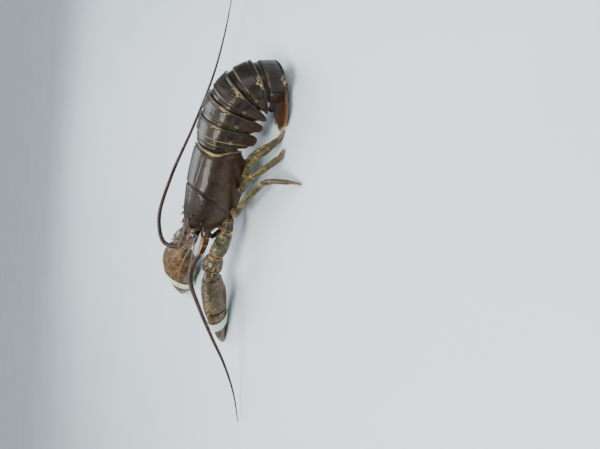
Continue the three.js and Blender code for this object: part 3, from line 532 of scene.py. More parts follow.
class Nodes:
    """A short way to write a material's nodes."""

    def __init__(self, name):
        self.material = bpy.data.materials.new(name)
        self.material.use_nodes = True
        self.tree = self.material.node_tree
        self.shader = self.tree.nodes["Principled BSDF"]
        coord = node(self.tree, "ShaderNodeTexCoord")
        # Patterns are given in millimetres
        inputs = {"Scale": (1000, 1000, 1000), "Vector": coord.outputs["Object"]}
        self.place = self.new("ShaderNodeMapping", inputs).outputs["Vector"]

    def link(self, a, b):
        self.tree.links.new(a, b)

    def new(self, kind, inputs, **settings):
        made = node(self.tree, kind, **settings)
        for label, value in inputs.items():
            if isinstance(value, bpy.types.NodeSocket):
                self.link(value, made.inputs[label])
            else:
                made.inputs[label].default_value = value
        return made

    def noise(self, size, detail=3.0, rough=0.55, warp=0.0):
        inputs = {"Scale": 1 / size, "Detail": detail, "Roughness": rough, "Distortion": warp}
        return self.new("ShaderNodeTexNoise", {**inputs, "Vector": self.place}).outputs["Fac"]

    def cells(self, size, randomness=1.0):
        inputs = {"Scale": 1 / size, "Randomness": randomness, "Vector": self.place}
        return self.new("ShaderNodeTexVoronoi", inputs).outputs["Distance"]

    def ramp(self, fac, low, high, invert=False):
        start, end = (1.0, 0.0) if invert else (0.0, 1.0)
        inputs = {"From Min": low, "From Max": high, "To Min": start, "To Max": end, "Value": fac}
        return self.new("ShaderNodeMapRange", inputs, interpolation_type="SMOOTHSTEP").outputs["Result"]

    def times(self, a, b):
        return calculate(self.tree, "MULTIPLY", a, b)

    def plus(self, a, b):
        return calculate(self.tree, "ADD", a, b)

    def mix(self, fac, a, b):
        n = node(self.tree, "ShaderNodeMix", data_type="RGBA")
        colours = [s for s in n.inputs if s.type == "RGBA"]
        self.link(fac, next(s for s in n.inputs if s.name == "Factor" and s.type == "VALUE"))
        for socket, value in zip(colours, (a, b)):
            if isinstance(value, tuple):
                socket.default_value = (*value, 1)
            else:
                self.link(value, socket)
        return next(s for s in n.outputs if s.type == "RGBA")

    def tint(self):
        n = node(self.tree, "ShaderNodeAttribute", attribute_name="tint")
        parts = self.new("ShaderNodeSeparateColor", {"Color": n.outputs["Color"]})
        return [parts.outputs["Red"], parts.outputs["Green"], parts.outputs["Blue"], n.outputs["Alpha"]]

    def relief(self, height, distance, strength, onto=None):
        inputs = {"Strength": strength, "Distance": distance, "Height": height}
        if onto is not None:
            inputs["Normal"] = onto
        return self.new("ShaderNodeBump", inputs).outputs["Normal"]

    def finish(self, colour, rough, normal, coat, coat_rough, specular):
        self.link(colour, self.shader.inputs["Base Color"])
        self.link(rough, self.shader.inputs["Roughness"])
        if normal is not None:
            self.link(normal, self.shader.inputs["Normal"])
        self.shader.inputs["Coat Weight"].default_value = coat
        self.shader.inputs["Coat Roughness"].default_value = coat_rough
        self.shader.inputs["Specular IOR Level"].default_value = specular
        return self.material


def shell_material(name, deep, middle, light, pale, warm, spot, speckle, spot_size, coat):
    """Wet shell: mottled ground, dark speckles, dark seams with painted shade, pale rims with painted
    highlights, warm spine tips and pitted relief.
    """
    m = Nodes(name)
    pale_rim_and_glint_at, warm_at, dark_seam_and_shade_at, spotted = m.tint()
    cloud = m.noise(16, 4, 0.6, 0.6)
    patch = m.noise(5.0, 4, 0.62, 0.4)
    fine = m.noise(0.9, 4, 0.7)
    ground = m.mix(m.ramp(cloud, 0.36, 0.66), deep, middle)
    ground = m.mix(m.times(m.ramp(patch, 0.5, 0.78), 0.75), ground, light)
    ground = m.mix(m.times(warm_at, m.ramp(patch, 0.2, 0.55)), ground, warm)
    dots = m.ramp(m.cells(spot_size), 0.16, 0.34, invert=True)
    dots = m.times(dots, m.ramp(m.noise(3.0, 2), 0.42, 0.6))
    amount = m.plus(m.times(spotted, 0.85), speckle)
    ground = m.mix(m.times(dots, amount), ground, spot)
    tiny = m.ramp(m.cells(0.75), 0.1, 0.3, invert=True)
    ground = m.mix(m.times(tiny, 0.22), ground, spot)
    # Dark seams, and painted shade where the tint asks for it.
    ground = m.mix(m.times(dark_seam_and_shade_at, 0.85), ground, spot)
    # Pale rims, with painted highlights where the tint asks for them.
    ground = m.mix(m.times(pale_rim_and_glint_at, m.ramp(fine, 0.15, 0.6)), ground, pale)
    rough = m.plus(m.times(fine, 0.3), 0.26)
    pits = m.ramp(m.cells(1.5), 0.05, 0.35)
    first = m.relief(pits, 0.00016, 0.35)
    second = m.relief(m.noise(3.2, 5, 0.6), 0.0006, 0.25, first)
    normal = m.relief(fine, 0.00012, 0.3, second)
    return m.finish(ground, rough, normal, coat, 0.12, 0.17)


def eye_material():
    m = Nodes("eye_black")
    warm_at = m.tint()[1]
    facets = m.cells(0.32, 0.15)
    colour = m.mix(m.ramp(m.noise(1.2, 2), 0.3, 0.7), (0.004, 0.004, 0.005), (0.012, 0.009, 0.008))
    colour = m.mix(warm_at, colour, (0.16, 0.085, 0.045))
    rough = m.plus(m.times(warm_at, 0.3), 0.07)
    return m.finish(colour, rough, m.relief(facets, 0.00004, 0.25), 1.0, 0.03, 0.6)


def band_material():
    m = Nodes("band_rubber")
    wear = m.noise(4.0, 5, 0.65)
    colour = m.mix(m.ramp(wear, 0.3, 0.7), (0.50, 0.58, 0.44), (0.66, 0.72, 0.58))
    grime = m.ramp(m.noise(1.1, 4, 0.7), 0.62, 0.8)
    colour = m.mix(m.times(grime, 0.4), colour, (0.24, 0.24, 0.15))
    rough = m.plus(m.times(wear, 0.2), 0.38)
    return m.finish(colour, rough, m.relief(m.noise(0.6, 3), 0.00012, 0.35), 0.15, 0.3, 0.4)


def floor_material():
    m = Nodes("pale_floor")
    cloud = m.noise(240, 3)
    colour = m.mix(m.ramp(cloud, 0.3, 0.7), (0.60, 0.70, 0.76), (0.64, 0.735, 0.79))
    rough = m.plus(m.times(cloud, 0.1), 0.42)
    return m.finish(colour, rough, None, 0, 0.1, 0.35)


# Each shell: its material's name, deep, middle and light ground, pale rims and painted highlights, warm tips,
# dark spots and painted shade, then how much it is speckled, the spots' spacing in millimetres and the weight
# of its wet coat
SHELLS = {
    "shell": (
        "wet_dark_shell",
        (0.010, 0.0072, 0.0048), (0.026, 0.0165, 0.0090), (0.052, 0.031, 0.0150),
        (0.50, 0.36, 0.17), (0.075, 0.032, 0.014), (0.0045, 0.0036, 0.003),
        0.35, 2.4, 0.2,
    ),
    "tail": (
        "tail_fan_shell",
        (0.016, 0.009, 0.006), (0.042, 0.019, 0.010), (0.080, 0.036, 0.017),
        (0.24, 0.13, 0.06), (0.085, 0.030, 0.014), (0.008, 0.006, 0.005),
        0.3, 2.0, 0.3,
    ),
    "claw": (
        "mottled_claw_shell",
        (0.018, 0.0165, 0.0085), (0.055, 0.049, 0.025), (0.165, 0.140, 0.075),
        (0.42, 0.32, 0.15), (0.20, 0.075, 0.026), (0.006, 0.005, 0.004),
        0.75, 3.0, 0.3,
    ),
    "leg": (
        "olive_leg_shell",
        (0.030, 0.025, 0.010), (0.090, 0.076, 0.026), (0.20, 0.17, 0.062),
        (0.42, 0.35, 0.19), (0.15, 0.045, 0.018), (0.012, 0.009, 0.006),
        0.15, 1.6, 0.3,
    ),
    "under": (
        "pale_underside",
        (0.060, 0.042, 0.022), (0.16, 0.115, 0.060), (0.28, 0.21, 0.12),
        (0.45, 0.37, 0.25), (0.20, 0.085, 0.035), (0.03, 0.02, 0.012),
        0.1, 1.8, 0.2,
    ),
    "head": (
        "head_limb_shell",
        (0.022, 0.014, 0.008), (0.070, 0.040, 0.017), (0.16, 0.098, 0.040),
        (0.45, 0.32, 0.18), (0.42, 0.125, 0.028), (0.008, 0.006, 0.005),
        0.3, 1.6, 0.35,
    ),
    "feeler": (
        "ringed_feeler",
        (0.022, 0.010, 0.0065), (0.050, 0.020, 0.011), (0.095, 0.040, 0.020),
        (0.24, 0.12, 0.06), (0.16, 0.05, 0.02), (0.008, 0.005, 0.004),
        0.1, 1.0, 0.25,
    ),
}
OTHERS = {"eye": eye_material, "band": band_material, "floor": floor_material}
MATERIALS = {}


def material(key):
    if key not in MATERIALS:
        MATERIALS[key] = shell_material(*SHELLS[key]) if key in SHELLS else OTHERS[key]()
    return MATERIALS[key]


# Carapace


def carapace_rear(theta):
    t = np.abs(theta) / FLANK
    return REAR_Y + smooth([[0, -1], [0.3, -5], [0.55, -6], [0.8, 0], [1, 1.5]], t)[..., 0]


def carapace_front(theta):
    t = np.abs(theta) / FLANK
    return ORBIT_Y + smooth([[0, -4], [0.3, -3], [0.6, 0], [1, 9]], t)[..., 0]


def groove_at(theta):
    t = np.abs(theta) / FLANK
    return smooth([[0, 0], [0.35, -3], [0.7, -14], [1, -30]], t)[..., 0]


def carapace_points(y, theta):
    rows = smooth(CARAPACE, y)
    w, top, low = rows[..., 0], rows[..., 1], rows[..., 2]
    side = low + (top - low) * 0.4
    c, s = np.cos(theta), np.sin(theta)
    drop = np.maximum(-c, 0) / -math.cos(FLANK)
    x_high = powered(s, 0.9) * w
    z_high = side + (top - side) * np.maximum(c, 0) ** 0.82
    x_low = np.sign(s) * w * (1 - 0.16 * drop * drop)
    z_low = side + (low - side) * drop
    x = np.where(c >= 0, x_high, x_low)
    z = np.where(c >= 0, z_high, z_low)
    return np.stack([x, y, z], axis=-1)


def push_out(points, centre, radius):
    away = points - centre
    distance = np.linalg.norm(away, axis=-1, keepdims=True)
    return np.where(distance < radius, centre + away / np.maximum(distance, 1e-6) * radius, points)


CARAPACE_GRID = (170, 190)
INNER_COLUMNS = 12
FRONT_STEPS = 16

# Spines of one side: root, direction, length and radius
CARAPACE_SPINES = [
    ((10.8, -50, 63), (0.15, -1, 0.35), 5.4, 1.6),
    ((17.2, -46.6, 51), (0.45, -1, 0.1), 5.6, 1.6),
    ((9.5, -40, 66), (0.1, -1, 0.5), 3.8, 1.3),
    ((19.8, -39, 56), (0.4, -1, 0.35), 2.4, 1.0),
    ((13.5, -34, 65.6), (0.2, -1, 0.6), 2.0, 0.9),
]
BEAK_TEETH = [
    ((4.4, -59, 65), (0.5, -1, 0.25), 6.5, 1.35),
    ((3.2, -67, 65.6), (0.5, -1, 0.25), 5.6, 1.15),
    ((2.1, -75, 66.3), (0.5, -1, 0.2), 4.4, 0.9),
]
BEAK = [
    [-85, 0.3, 67, 0.35],
    [-82, 1.2, 66.7, 1.5],
    [-72, 2.9, 65.4, 2.9],
    [-60, 4.6, 64, 4],
    [-52, 6.6, 63.4, 4.4],
    [-44, 7.6, 64.0, 3.6],
    [-36, 8.0, 65.2, 2.2],
]


def add_spines(shape, spines):
    for _, side in SIDES:
        for root, direction, length, radius in spines:
            shape.thorn(on_side(root, side), on_side(direction, side), length, radius)


def build_carapace(settings):
    rows, columns = CARAPACE_GRID
    theta = np.linspace(-FLANK, FLANK, columns)
    share = np.linspace(0, 1, rows)
    share = share + 0.012 * np.sin(2 * np.pi * share)
    front, rear, groove = carapace_front(theta), carapace_rear(theta), groove_at(theta)
    y = front[None] + (rear - front)[None] * share[:, None]
    t = np.broadcast_to(theta, y.shape)
    grid = carapace_points(y, t)
    edge = np.zeros(grid.shape[:2], bool)
    edge[:, :3] = edge[:, -3:] = True
    grid = relax(grid, 14, edge)
    normal = grid_normals(grid)
    normal[:, :1], normal[:, -1:] = normal[:, 1:2], normal[:, -2:-1]
    a = np.abs(t) / FLANK
    from_rear = rear[None] - y
    from_low = (1 - a) * 58
    lift = -settings.groove_depth * bump(y, groove[None], 1.5) * (1 - 0.45 * a)
    lift += 0.35 * bump(y, groove[None] + 3.2, 1.8)
    lift += -0.5 * bump(a * 60, 11 + 0.12 * (y - 5), 1.2) * step(y, 4, 12) * step(-y, -44, -34)
    lift += -0.55 * bump(t * 30, 0, 0.9) * step(y, -30, -10)
    lift += 0.75 * bump(from_rear, 0.9, 0.9) - 0.75 * bump(from_rear, 3.4, 1.3)
    lift += 0.5 * bump(from_low, 0.8, 0.9) - 0.45 * bump(from_low, 3.0, 1.2)
    front_ridge = bump(np.abs(grid[..., 0]), 7.2, 1.5) * step(-y, 12, 34)
    lift += 0.9 * front_ridge
    rough_front = 1 + 0.9 * step(-y, -8, 30)
    lift += 0.045 * rough_front * grain(grid, 1.2, 3) + 0.05 * grain(grid, 5.5, 4) + 0.2 * grain(grid, 16, 5)
    pimples = np.clip(grain(grid, 1.7, 6) - 0.5, 0, 1)
    lift += 0.4 * pimples * (0.15 + 0.8 * step(-y, 0, 30) + 0.3 * step(a, 0.6, 0.9))
    grid = grid + normal * lift[..., None]
    tint = blank_tint(grid)
    # Painted highlight: the pale rear rim is the shell's own colour, and it is painted brighter and wider in
    # a band about 48 degrees round from the back, where the glint of the lamps falls.
    painted_glint_band = bump(a * FLANK_DEGREES, 48, 17)
    rim = bump(from_rear, 0.7, 0.75 + 0.6 * painted_glint_band) * (0.45 + 0.6 * painted_glint_band)
    tint[..., 0] = rim * (1 + 0.35 * grain(grid, 3, 9))
    tint[..., 0] += 0.22 * bump(from_low, 0.4, 0.6)
    flank = 0.75 * step(a, 0.42, 0.95) * (0.65 + 0.35 * grain(grid, 9, 8))
    tint[..., 1] = flank + 0.3 * bump(from_rear, 4, 3) * step(a, 0.3, 0.5)
    seams = 0.8 * bump(y, groove[None], 1.1) + 0.6 * bump(from_rear, 3.2, 0.9)
    tint[..., 2] = seams + 0.35 * step(-a, -0.3, -0.05)
    tint[..., 3] = 0.5
    # The shell's inner wall runs from one lower edge to the other
    starts, ends = grid[:, 0], grid[:, -1]
    inner = []
    for s in np.linspace(0.92, -0.92, INNER_COLUMNS):
        lift_in = 3.0 if abs(s) > 0.6 else 6.0
        y_in, z_in = ((starts[:, k] + ends[:, k]) / 2 for k in (1, 2))
        inner.append(np.stack([(np.abs(ends[:, 0]) - 2.6) * s, y_in, z_in + lift_in], axis=-1))
    grid = np.concatenate([grid, np.stack(inner, axis=1)], axis=1)
    # Painted shade: the inner wall under the shell is painted dark.
    dark = np.broadcast_to(vec(0, 0, 0.6, 0), (rows, INNER_COLUMNS, 4))
    tint = np.concatenate([tint, dark], axis=1)
    # The front wall closes in steps, so that the eye sockets can be pressed into it
    middle = grid[0].mean(axis=0)
    closing = [middle + (grid[0] - middle) * s for s in np.linspace(0.15, 0.97, FRONT_STEPS)]
    grid = np.concatenate([np.array(closing), grid])
    tint = np.concatenate([np.repeat(tint[:1], FRONT_STEPS, 0), tint])
    for _, side in SIDES:
        centre = on_side(EYE_CENTRE, side)
        near = np.linalg.norm(grid - centre, axis=-1)
        tint[..., 0] += 0.5 * bump(near, EYE_RADIUS + 2.9, 0.5)
        grid = push_out(grid, centre, EYE_RADIUS + 2.4)
    shape = Shape()
    shape.grid(grid, np.clip(tint, 0, 1))
    add_beak(shape)
    add_spines(shape, CARAPACE_SPINES)
    return shape


def add_beak(shape):
    y = np.linspace(-36, -84.8, 90)
    rows = smooth(BEAK, y)
    wide, middle, high = rows[:, :1], rows[:, 1:2], rows[:, 2:3]
    angle = turns(44)
    above = np.sin(angle)[None] > 0
    x = np.cos(angle)[None] * wide
    z = np.sin(angle)[None] * high / 1.35
    trough = 0.42 * high * bump(x, 0, 0.5 * wide) * above
    keel = 0.16 * high * bump(x, 0, 0.16 * wide) * above
    grid = np.stack([x, np.broadcast_to(y[:, None], x.shape), middle + z - trough + keel], axis=-1)
    grid = grid + grid_normals(grid) * (0.1 * grain(grid, 1.2, 21) + 0.08 * grain(grid, 3, 22))[..., None]
    tint = blank_tint(grid)
    rim = np.abs(np.cos(angle))[None] ** 6 * np.ones((len(y), 1))
    tint[..., 1] = 0.35 * rim + 0.75 * step(-y, 66, 85)[:, None]
    tint[..., 0] = 0.12 * rim
    shape.grid(grid, np.clip(tint, 0, 1))
    add_spines(shape, BEAK_TEETH)


# Thorax, the underside between the legs


def build_thorax():
    y = np.linspace(-52, 46, 120)
    rows = smooth(THORAX, y)
    w, bottom, top, low = rows.T
    corner = (top + low) / 2 + 2
    spots = [
        (w, top),
        (-w, top),
        (-w, corner),
        (-bottom, low),
        (0 * w, low - 1),
        (bottom, low),
        (w, corner),
    ]
    ring = []
    for a, b in zip(spots, spots[1:] + spots[:1]):
        for f in np.linspace(0, 1, 12, endpoint=False):
            ring.append(np.stack([a[0] + (b[0] - a[0]) * f, y, a[1] + (b[1] - a[1]) * f], axis=-1))
    grid = np.stack(ring, axis=1)
    grid = relax(grid, 6)
    plates = 0.7 * np.cos((y + 13) / 17 * 2 * np.pi)[:, None] * (grid[..., 2] < 26)
    grid = grid + grid_normals(grid) * (plates + 0.15 * grain(grid, 2, 31))[..., None]
    tint = blank_tint(grid)
    # Painted shade: darker higher up, where the sides run in under the carapace.
    tint[..., 2] = 0.35 * step(grid[..., 2], 26, 40)
    shape = Shape()
    shape.grid(grid, tint)
    return shape


# Abdomen


def heading(yaw, pitch):
    return vec(math.sin(yaw) * math.cos(pitch), math.cos(yaw) * math.cos(pitch), math.sin(pitch))


def frame_of(at, yaw, pitch):
    yaw, pitch = math.radians(yaw), math.radians(pitch)
    along, side = heading(yaw, pitch), vec(math.cos(yaw), -math.sin(yaw), 0)
    return at, along, side, np.cross(side, along)


def abdomen_path():
    """The abdomen's middle line, one point each half millimetre."""
    points = [ABDOMEN_START]
    for i in range(1, int(ABDOMEN_LENGTH * 2) + 1):
        yaw, pitch = np.radians(smooth(ABDOMEN_PATH, i / 2 - 0.25))
        points.append(points[-1] + heading(yaw, pitch) * 0.5)
    return points


PATH = abdomen_path()


def abdomen_frame(s):
    s = min(max(s, 0.0), ABDOMEN_LENGTH)
    i = min(int(s * 2), len(PATH) - 2)
    at = PATH[i] + (PATH[i + 1] - PATH[i]) * (s * 2 - i)
    yaw, pitch = smooth(ABDOMEN_PATH, s)
    return frame_of(at, yaw, pitch)


def half_profile(width, height, lobe):
    arch = []
    for k in range(ARCH + 1):
        phi = math.pi / 2 * k / ARCH
        arch.append((width * math.sin(phi) ** 0.92, height * math.cos(phi) ** 0.85))
    flank = [
        arch[-1],
        (width * 1.01, -lobe * 0.3),
        (width * 0.985, -lobe * 0.68),
        (width * 0.9, -lobe),
    ]
    inside = [
        (width * 0.9, -lobe),
        (width * 0.9 - 2, -lobe + 0.8),
        (width * 0.84, -min(9, lobe * 0.6)),
        (width * 0.5, -9.5),
        (0, -9.5),
    ]
    outer = np.vstack([arch[:-1], through(flank, 12)])
    inner = through(inside, 6)[1:]
    return np.vstack([outer, inner]), len(outer)


def build_ring(index):
    start, end, width, height, lobe = RINGS[index]
    rows = FIRST_ROWS if index == 0 else RING_ROWS
    a, b = start + 0.25, end - 0.25
    count = 72
    share = np.linspace(0, 1, count)
    swell = smooth(rows, share)
    grid, tint = [], []
    for t, (grow, drop) in zip(share, swell):
        at, _, side, up = abdomen_frame(a + (b - a) * t)
        half, outer = half_profile(width * grow, height * grow, lobe * drop)
        u = np.concatenate([half[:, 0], -half[-2:0:-1, 0]])
        w = np.concatenate([half[:, 1], half[-2:0:-1, 1]])
        grid.append(at + side * u[:, None] + up * w[:, None])
        n = len(u)
        k = np.minimum(np.arange(n), n - np.arange(n))
        outside = (k < outer).astype(float)
        low = np.clip(-w / (lobe * drop), 0, 1)
        row = np.zeros((n, 4))
        length = b - a
        d_front, d_rear = t * length, (1 - t) * length
        tip = step(low, 0.62, 1.0)
        turn = np.minimum(k, ARCH) * 90.0 / ARCH
        # Painted highlight: golden glints in a band about 50 degrees round from the back, on the rear rim,
        # which is also pale by its own colour, and in patches just in front of it.
        painted_glint_band = bump(turn, 50, 15) * (w > 0)
        wander = 0.75 + 0.45 * np.sin(turn * 0.24 + index * 2.1) * np.sin(turn * 0.57 + index)
        drift = 2.4 + 0.9 * np.sin(turn * 0.21 + index) + 0.6 * np.sin(turn * 0.5 + 2 * index)
        front_arc = bump(d_front, 0.27 * length, 0.45) * (0.75 if index == 1 else 0.12) * (1 - tip)
        rear_rim_and_glint = bump(d_rear, 0.4, 0.4) * (0.16 + 0.7 * painted_glint_band * wander)
        patch = 1.1 * painted_glint_band * wander * bump(d_rear, drift, 0.6) * (index > 0)
        row[:, 0] = outside * (rear_rim_and_glint * (1 - 0.7 * tip) + front_arc + patch)
        # Painted highlight on the hinge knob at the side.
        row[:, 0] += outside * 0.3 * bump(low, 0.1, 0.06) * bump(t, 0.34, 0.08)
        row[:, 1] = outside * (0.8 * tip + 0.3 * step(low, 0, 0.4))
        seams = 0.75 * bump(d_front, 0.2 * length, 0.7) + 0.5 * bump(low, 0.08, 0.05) * step(t, 0.3, 0.5)
        row[:, 2] = outside * seams
        row[:, 2] += outside * (0.6 * bump(d_rear, 2.2, 0.6) + 0.3 * (1 - step(turn, 20, 60)))
        row[:, 3] = 0.45
        row[outside == 0] = (0.0, 0.5, 0.0, 0.0)
        tint.append(row)
    grid, tint = np.array(grid), np.array(tint)
    normal = grid_normals(grid)
    n = grid.shape[1]
    k = np.minimum(np.arange(n), n - np.arange(n))
    outside = (k < outer)[None].astype(float)
    t = share[:, None]
    length = b - a
    lift = 0.45 * bump((1 - t) * length, 0.8, 0.9) - 0.4 * bump((1 - t) * length, 2.6, 0.9)
    if index:
        lift = lift - 0.75 * bump(t * length, 0.2 * length, 0.8)
        lift = lift + 0.35 * bump(t * length, 0.2 * length + 2.2, 1.2)
    arch_end = ARCH + 1
    lift = lift - 0.7 * bump(k[None], arch_end + 1, 1.6) * step(t, 0.2, 0.4)
    lift = lift + 1.1 * bump(k[None], arch_end + 4, 2.6) * bump(t, 0.32, 0.13)
    lift = lift + 0.8 * bump(k[None], arch_end + 4, 2.4) * bump(t, 0.86, 0.09)
    lift = lift + 0.09 * grain(grid, 1.1, 41) + 0.14 * grain(grid, 4, 42)
    lift = lift + 0.3 * np.clip(grain(grid, 1.9, 43) - 0.5, 0, 1)
    grid = grid + normal * (lift * outside)[..., None]
    shape = Shape()
    shape.grid(grid, np.clip(tint, 0, 1), caps=4)
    if 1 <= index <= 4:
        add_swimmerets(shape, index)
    return shape


def add_swimmerets(shape, index):
    start, end = RINGS[index][:2]
    at, along, side, up = abdomen_frame((start + end) / 2)
    for s in (1, -1):
        root = at + side * 9 * s - up * 7
        joint = at + side * 11 * s - up * 13 + along
        tip = at + side * 9 * s - up * 21 + along * 5
        shape.tube(root, joint, [[0, 1.9, 1.9], [1, 1.5, 1.5]], 10, 14, hint=side, rough=0.05)
        rows = [[-0.1, 1, 1], [0.3, 2, 1], [0.75, 2.3, 0.9], [1, 0.8, 0.6]]
        shape.tube(joint, tip, rows, 16, 16, hint=along, rough=0.05)


# Tail fan

END_AT, END_ALONG, _, END_UP = abdomen_frame(ABDOMEN_LENGTH)
FAN = frame_of(END_AT - END_UP * 1 + END_ALONG * 6, 28, FAN_PITCH)


PLATE_ROWS, PLATE_COLUMNS = 70, 41
PLATE_MIDDLE = PLATE_COLUMNS // 2


def build_plate(root, angle, rows, length, half, thick, dome, seed):
    _, axis, across, up = FAN
    turn = math.radians(angle)
    along = axis * math.cos(turn) + across * math.sin(turn)
    side = across * math.cos(turn) - axis * math.sin(turn)
    share = np.linspace(0, 1, PLATE_ROWS)
    wide = smooth(rows, share)
    w, t = np.maximum(wide[:, 0] * half, 0.4), np.maximum(wide[:, 1] * thick, 0.5)
    end = step(share, 0.88, 1.0)
    w = w * (1 - 0.35 * end)
    u = np.linspace(-1, 1, PLATE_COLUMNS)
    rim = np.clip(1 - u**2, 0.0, 1) ** 0.5
    top = dome * (1 - u**2)[None] + t[:, None] * (0.18 + 0.34 * rim)[None]
    ridge = 0.35 * bump(u, 0, 0.07)
    for r in (1, 2):
        ridge = ridge + 0.22 * (bump(u, r * 0.36, 0.06) + bump(u, -r * 0.36, 0.06))
    top = top + ridge[None] * step(share, 0.02, 0.2)[:, None] * step(-share, -0.95, -0.7)[:, None]
    low = -t[:, None] * (0.18 + 0.3 * rim)[None]
    bow = (1 - u**2) * 0.05 * length
    place = root + along * (length * share)[:, None]
    line = place[:, None] + side * (u[None] * w[:, None])[..., None]
    line = line + along * (bow[None] * step(share, 0.5, 1)[:, None])[..., None]
    upper = line + up * top[..., None]
    lower = (line + up * low[..., None])[:, ::-1]
    grid = np.concatenate([upper, lower], axis=1)
    rough = 0.06 * grain(grid, 1.2, seed) + 0.05 * grain(grid, 3, seed + 1)
    grid = grid + grid_normals(grid) * rough[..., None]
    tint = blank_tint(grid)
    edge = np.concatenate([np.abs(u), np.abs(u[::-1])])[None]
    tint[..., 0] = 0.35 * step(edge, 0.9, 1.0) + 0.3 * step(share, 0.94, 1.0)[:, None]
    tint[..., 1] = 0.3 + 0.4 * step(edge, 0.75, 1.0) + 0.3 * step(share, 0.8, 1)[:, None]
    tint[..., 3] = 0.4
    shape = Shape()
    shape.grid(grid, np.clip(tint, 0, 1))
    edges = [upper[PLATE_MIDDLE:, 0], upper[-1, 1:-1], upper[: PLATE_MIDDLE - 1 : -1, -1]]
    tips = np.concatenate(edges)
    out = tips - (root + along * length * 0.45)
    return shape, tips, out / np.linalg.norm(out, axis=1)[:, None]


# Claws


def claw_axes(spec, side):
    wrist, tip = vec(*spec["wrist"]), vec(*spec["tip"])
    along = unit(tip - wrist)
    across = unit(np.cross(UP, along)) * side
    turned = Matrix.Rotation(math.radians(spec["roll"]), 3, Vector(along)) @ Vector(across)
    across = np.array(turned)
    return wrist, along, across, unit(np.cross(along, across))


def slit_lines(spec, share):
    """Heights of the two biting edges along the fingers, in the claw's own plane."""
    length = spec["size"][0]
    gape = spec["gape"]
    fade = np.sin(np.pi * np.clip((share - 0.5) / 0.46, 0, 1))
    middle = 0.02 * length * np.sin(np.pi * (share - 0.5) * 1.6) - 0.01 * length
    wave = np.sin((share - 0.5) / 0.54 * spec["teeth"] * 2 * np.pi + 1.57)
    big = powered(wave, 0.7) * 0.55 * gape * fade
    return middle - 0.3 - 0.5 * gape * fade + big, middle + 0.3 + 0.5 * gape * fade + 0.9 * big


def claw_skin(spec, name, share, sides):
    length, half, thick = spec["size"]
    rows = smooth(CLAW_ROWS[name], share)
    angle = turns(sides)
    y = powered(np.cos(angle), 0.92) * (rows[:, :1] * half) + rows[:, 2:3] * length
    z = powered(np.sin(angle), 0.92) * (rows[:, 1:2] * thick)
    x = np.broadcast_to((share * length)[:, None], y.shape)
    return np.stack([x, y, z], axis=-1), angle


def claw_relief(spec, grid, angle, seed):
    length = spec["size"][0]
    normal = grid_normals(grid)
    share = grid[..., 0] / length
    lift = 0.16 * grain(grid, 1.5, seed) + 0.3 * grain(grid, 5, seed + 1) + 0.45 * grain(grid, 15, seed + 2)
    lift += 0.7 * np.clip(grain(grid, 2.3, seed + 3) - 0.4, 0, 1)
    lift += -0.8 * bump(share, 0.07, 0.012) + 0.5 * bump(share, 0.1, 0.02)
    groove = bump(np.abs(np.sin(angle))[None], 0.55, 0.12) * step(share, 0.5, 0.6) * (np.cos(angle)[None] < 0)
    return grid + normal * (lift - 0.4 * groove)[..., None]


def claw_tint(spec, grid, angle):
    length = spec["size"][0]
    share = grid[..., 0] / length
    up = np.sin(angle)[None]
    tint = blank_tint(grid)
    edge = np.abs(np.cos(angle))[None] ** 5
    blotch = 0.28 * np.clip(grain(grid, 4.5, 57) + 0.6 * grain(grid, 1.6, 58), 0, 1)
    tint[..., 0] = 0.7 * step(share, 0.95, 1.0) + blotch
    tint[..., 1] = 0.15 * edge + 0.4 * step(-up, 0.4, 0.95) + 0.5 * step(share, 0.84, 0.97)
    tint[..., 2] = 0.8 * bump(share, 0.07, 0.012) + 0.25 * np.clip(grain(grid, 14, 55), 0, 1)
    tint[..., 3] = 0.4 + 0.6 * step(up, -0.5, 0.3)
    return tint


def to_world(spec, side, grid):
    wrist, along, across, up = claw_axes(spec, side)
    return wrist + grid[..., :1] * along + grid[..., 1:2] * across + grid[..., 2:3] * up


def bite_fall(spec, name, share, grid):
    """How far the biting edge falls away toward the two faces of the claw."""
    reach = smooth(CLAW_ROWS[name], share)[:, 1] * spec["size"][2]
    tooth = 1 - (grid[..., 2] / np.maximum(reach, 0.5)[:, None]) ** 2
    return 0.5 * spec["gape"] * (1 - np.clip(tooth, 0, 1))


def close_bite(spec, side, grid, tint, cut, edge):
    """Moves what lies past the biting edge onto it, and paints it pale."""
    grid[..., 1] = np.where(cut, edge, grid[..., 1])
    grid[..., 2] = np.where(cut, grid[..., 2] * 0.97, grid[..., 2])
    tint[..., 0] = np.where(cut, 0.6, tint[..., 0])
    tint[..., 3] = np.where(cut, 0.0, tint[..., 3])
    shape = Shape()
    shape.grid(to_world(spec, side, grid), np.clip(tint, 0, 1))
    return shape


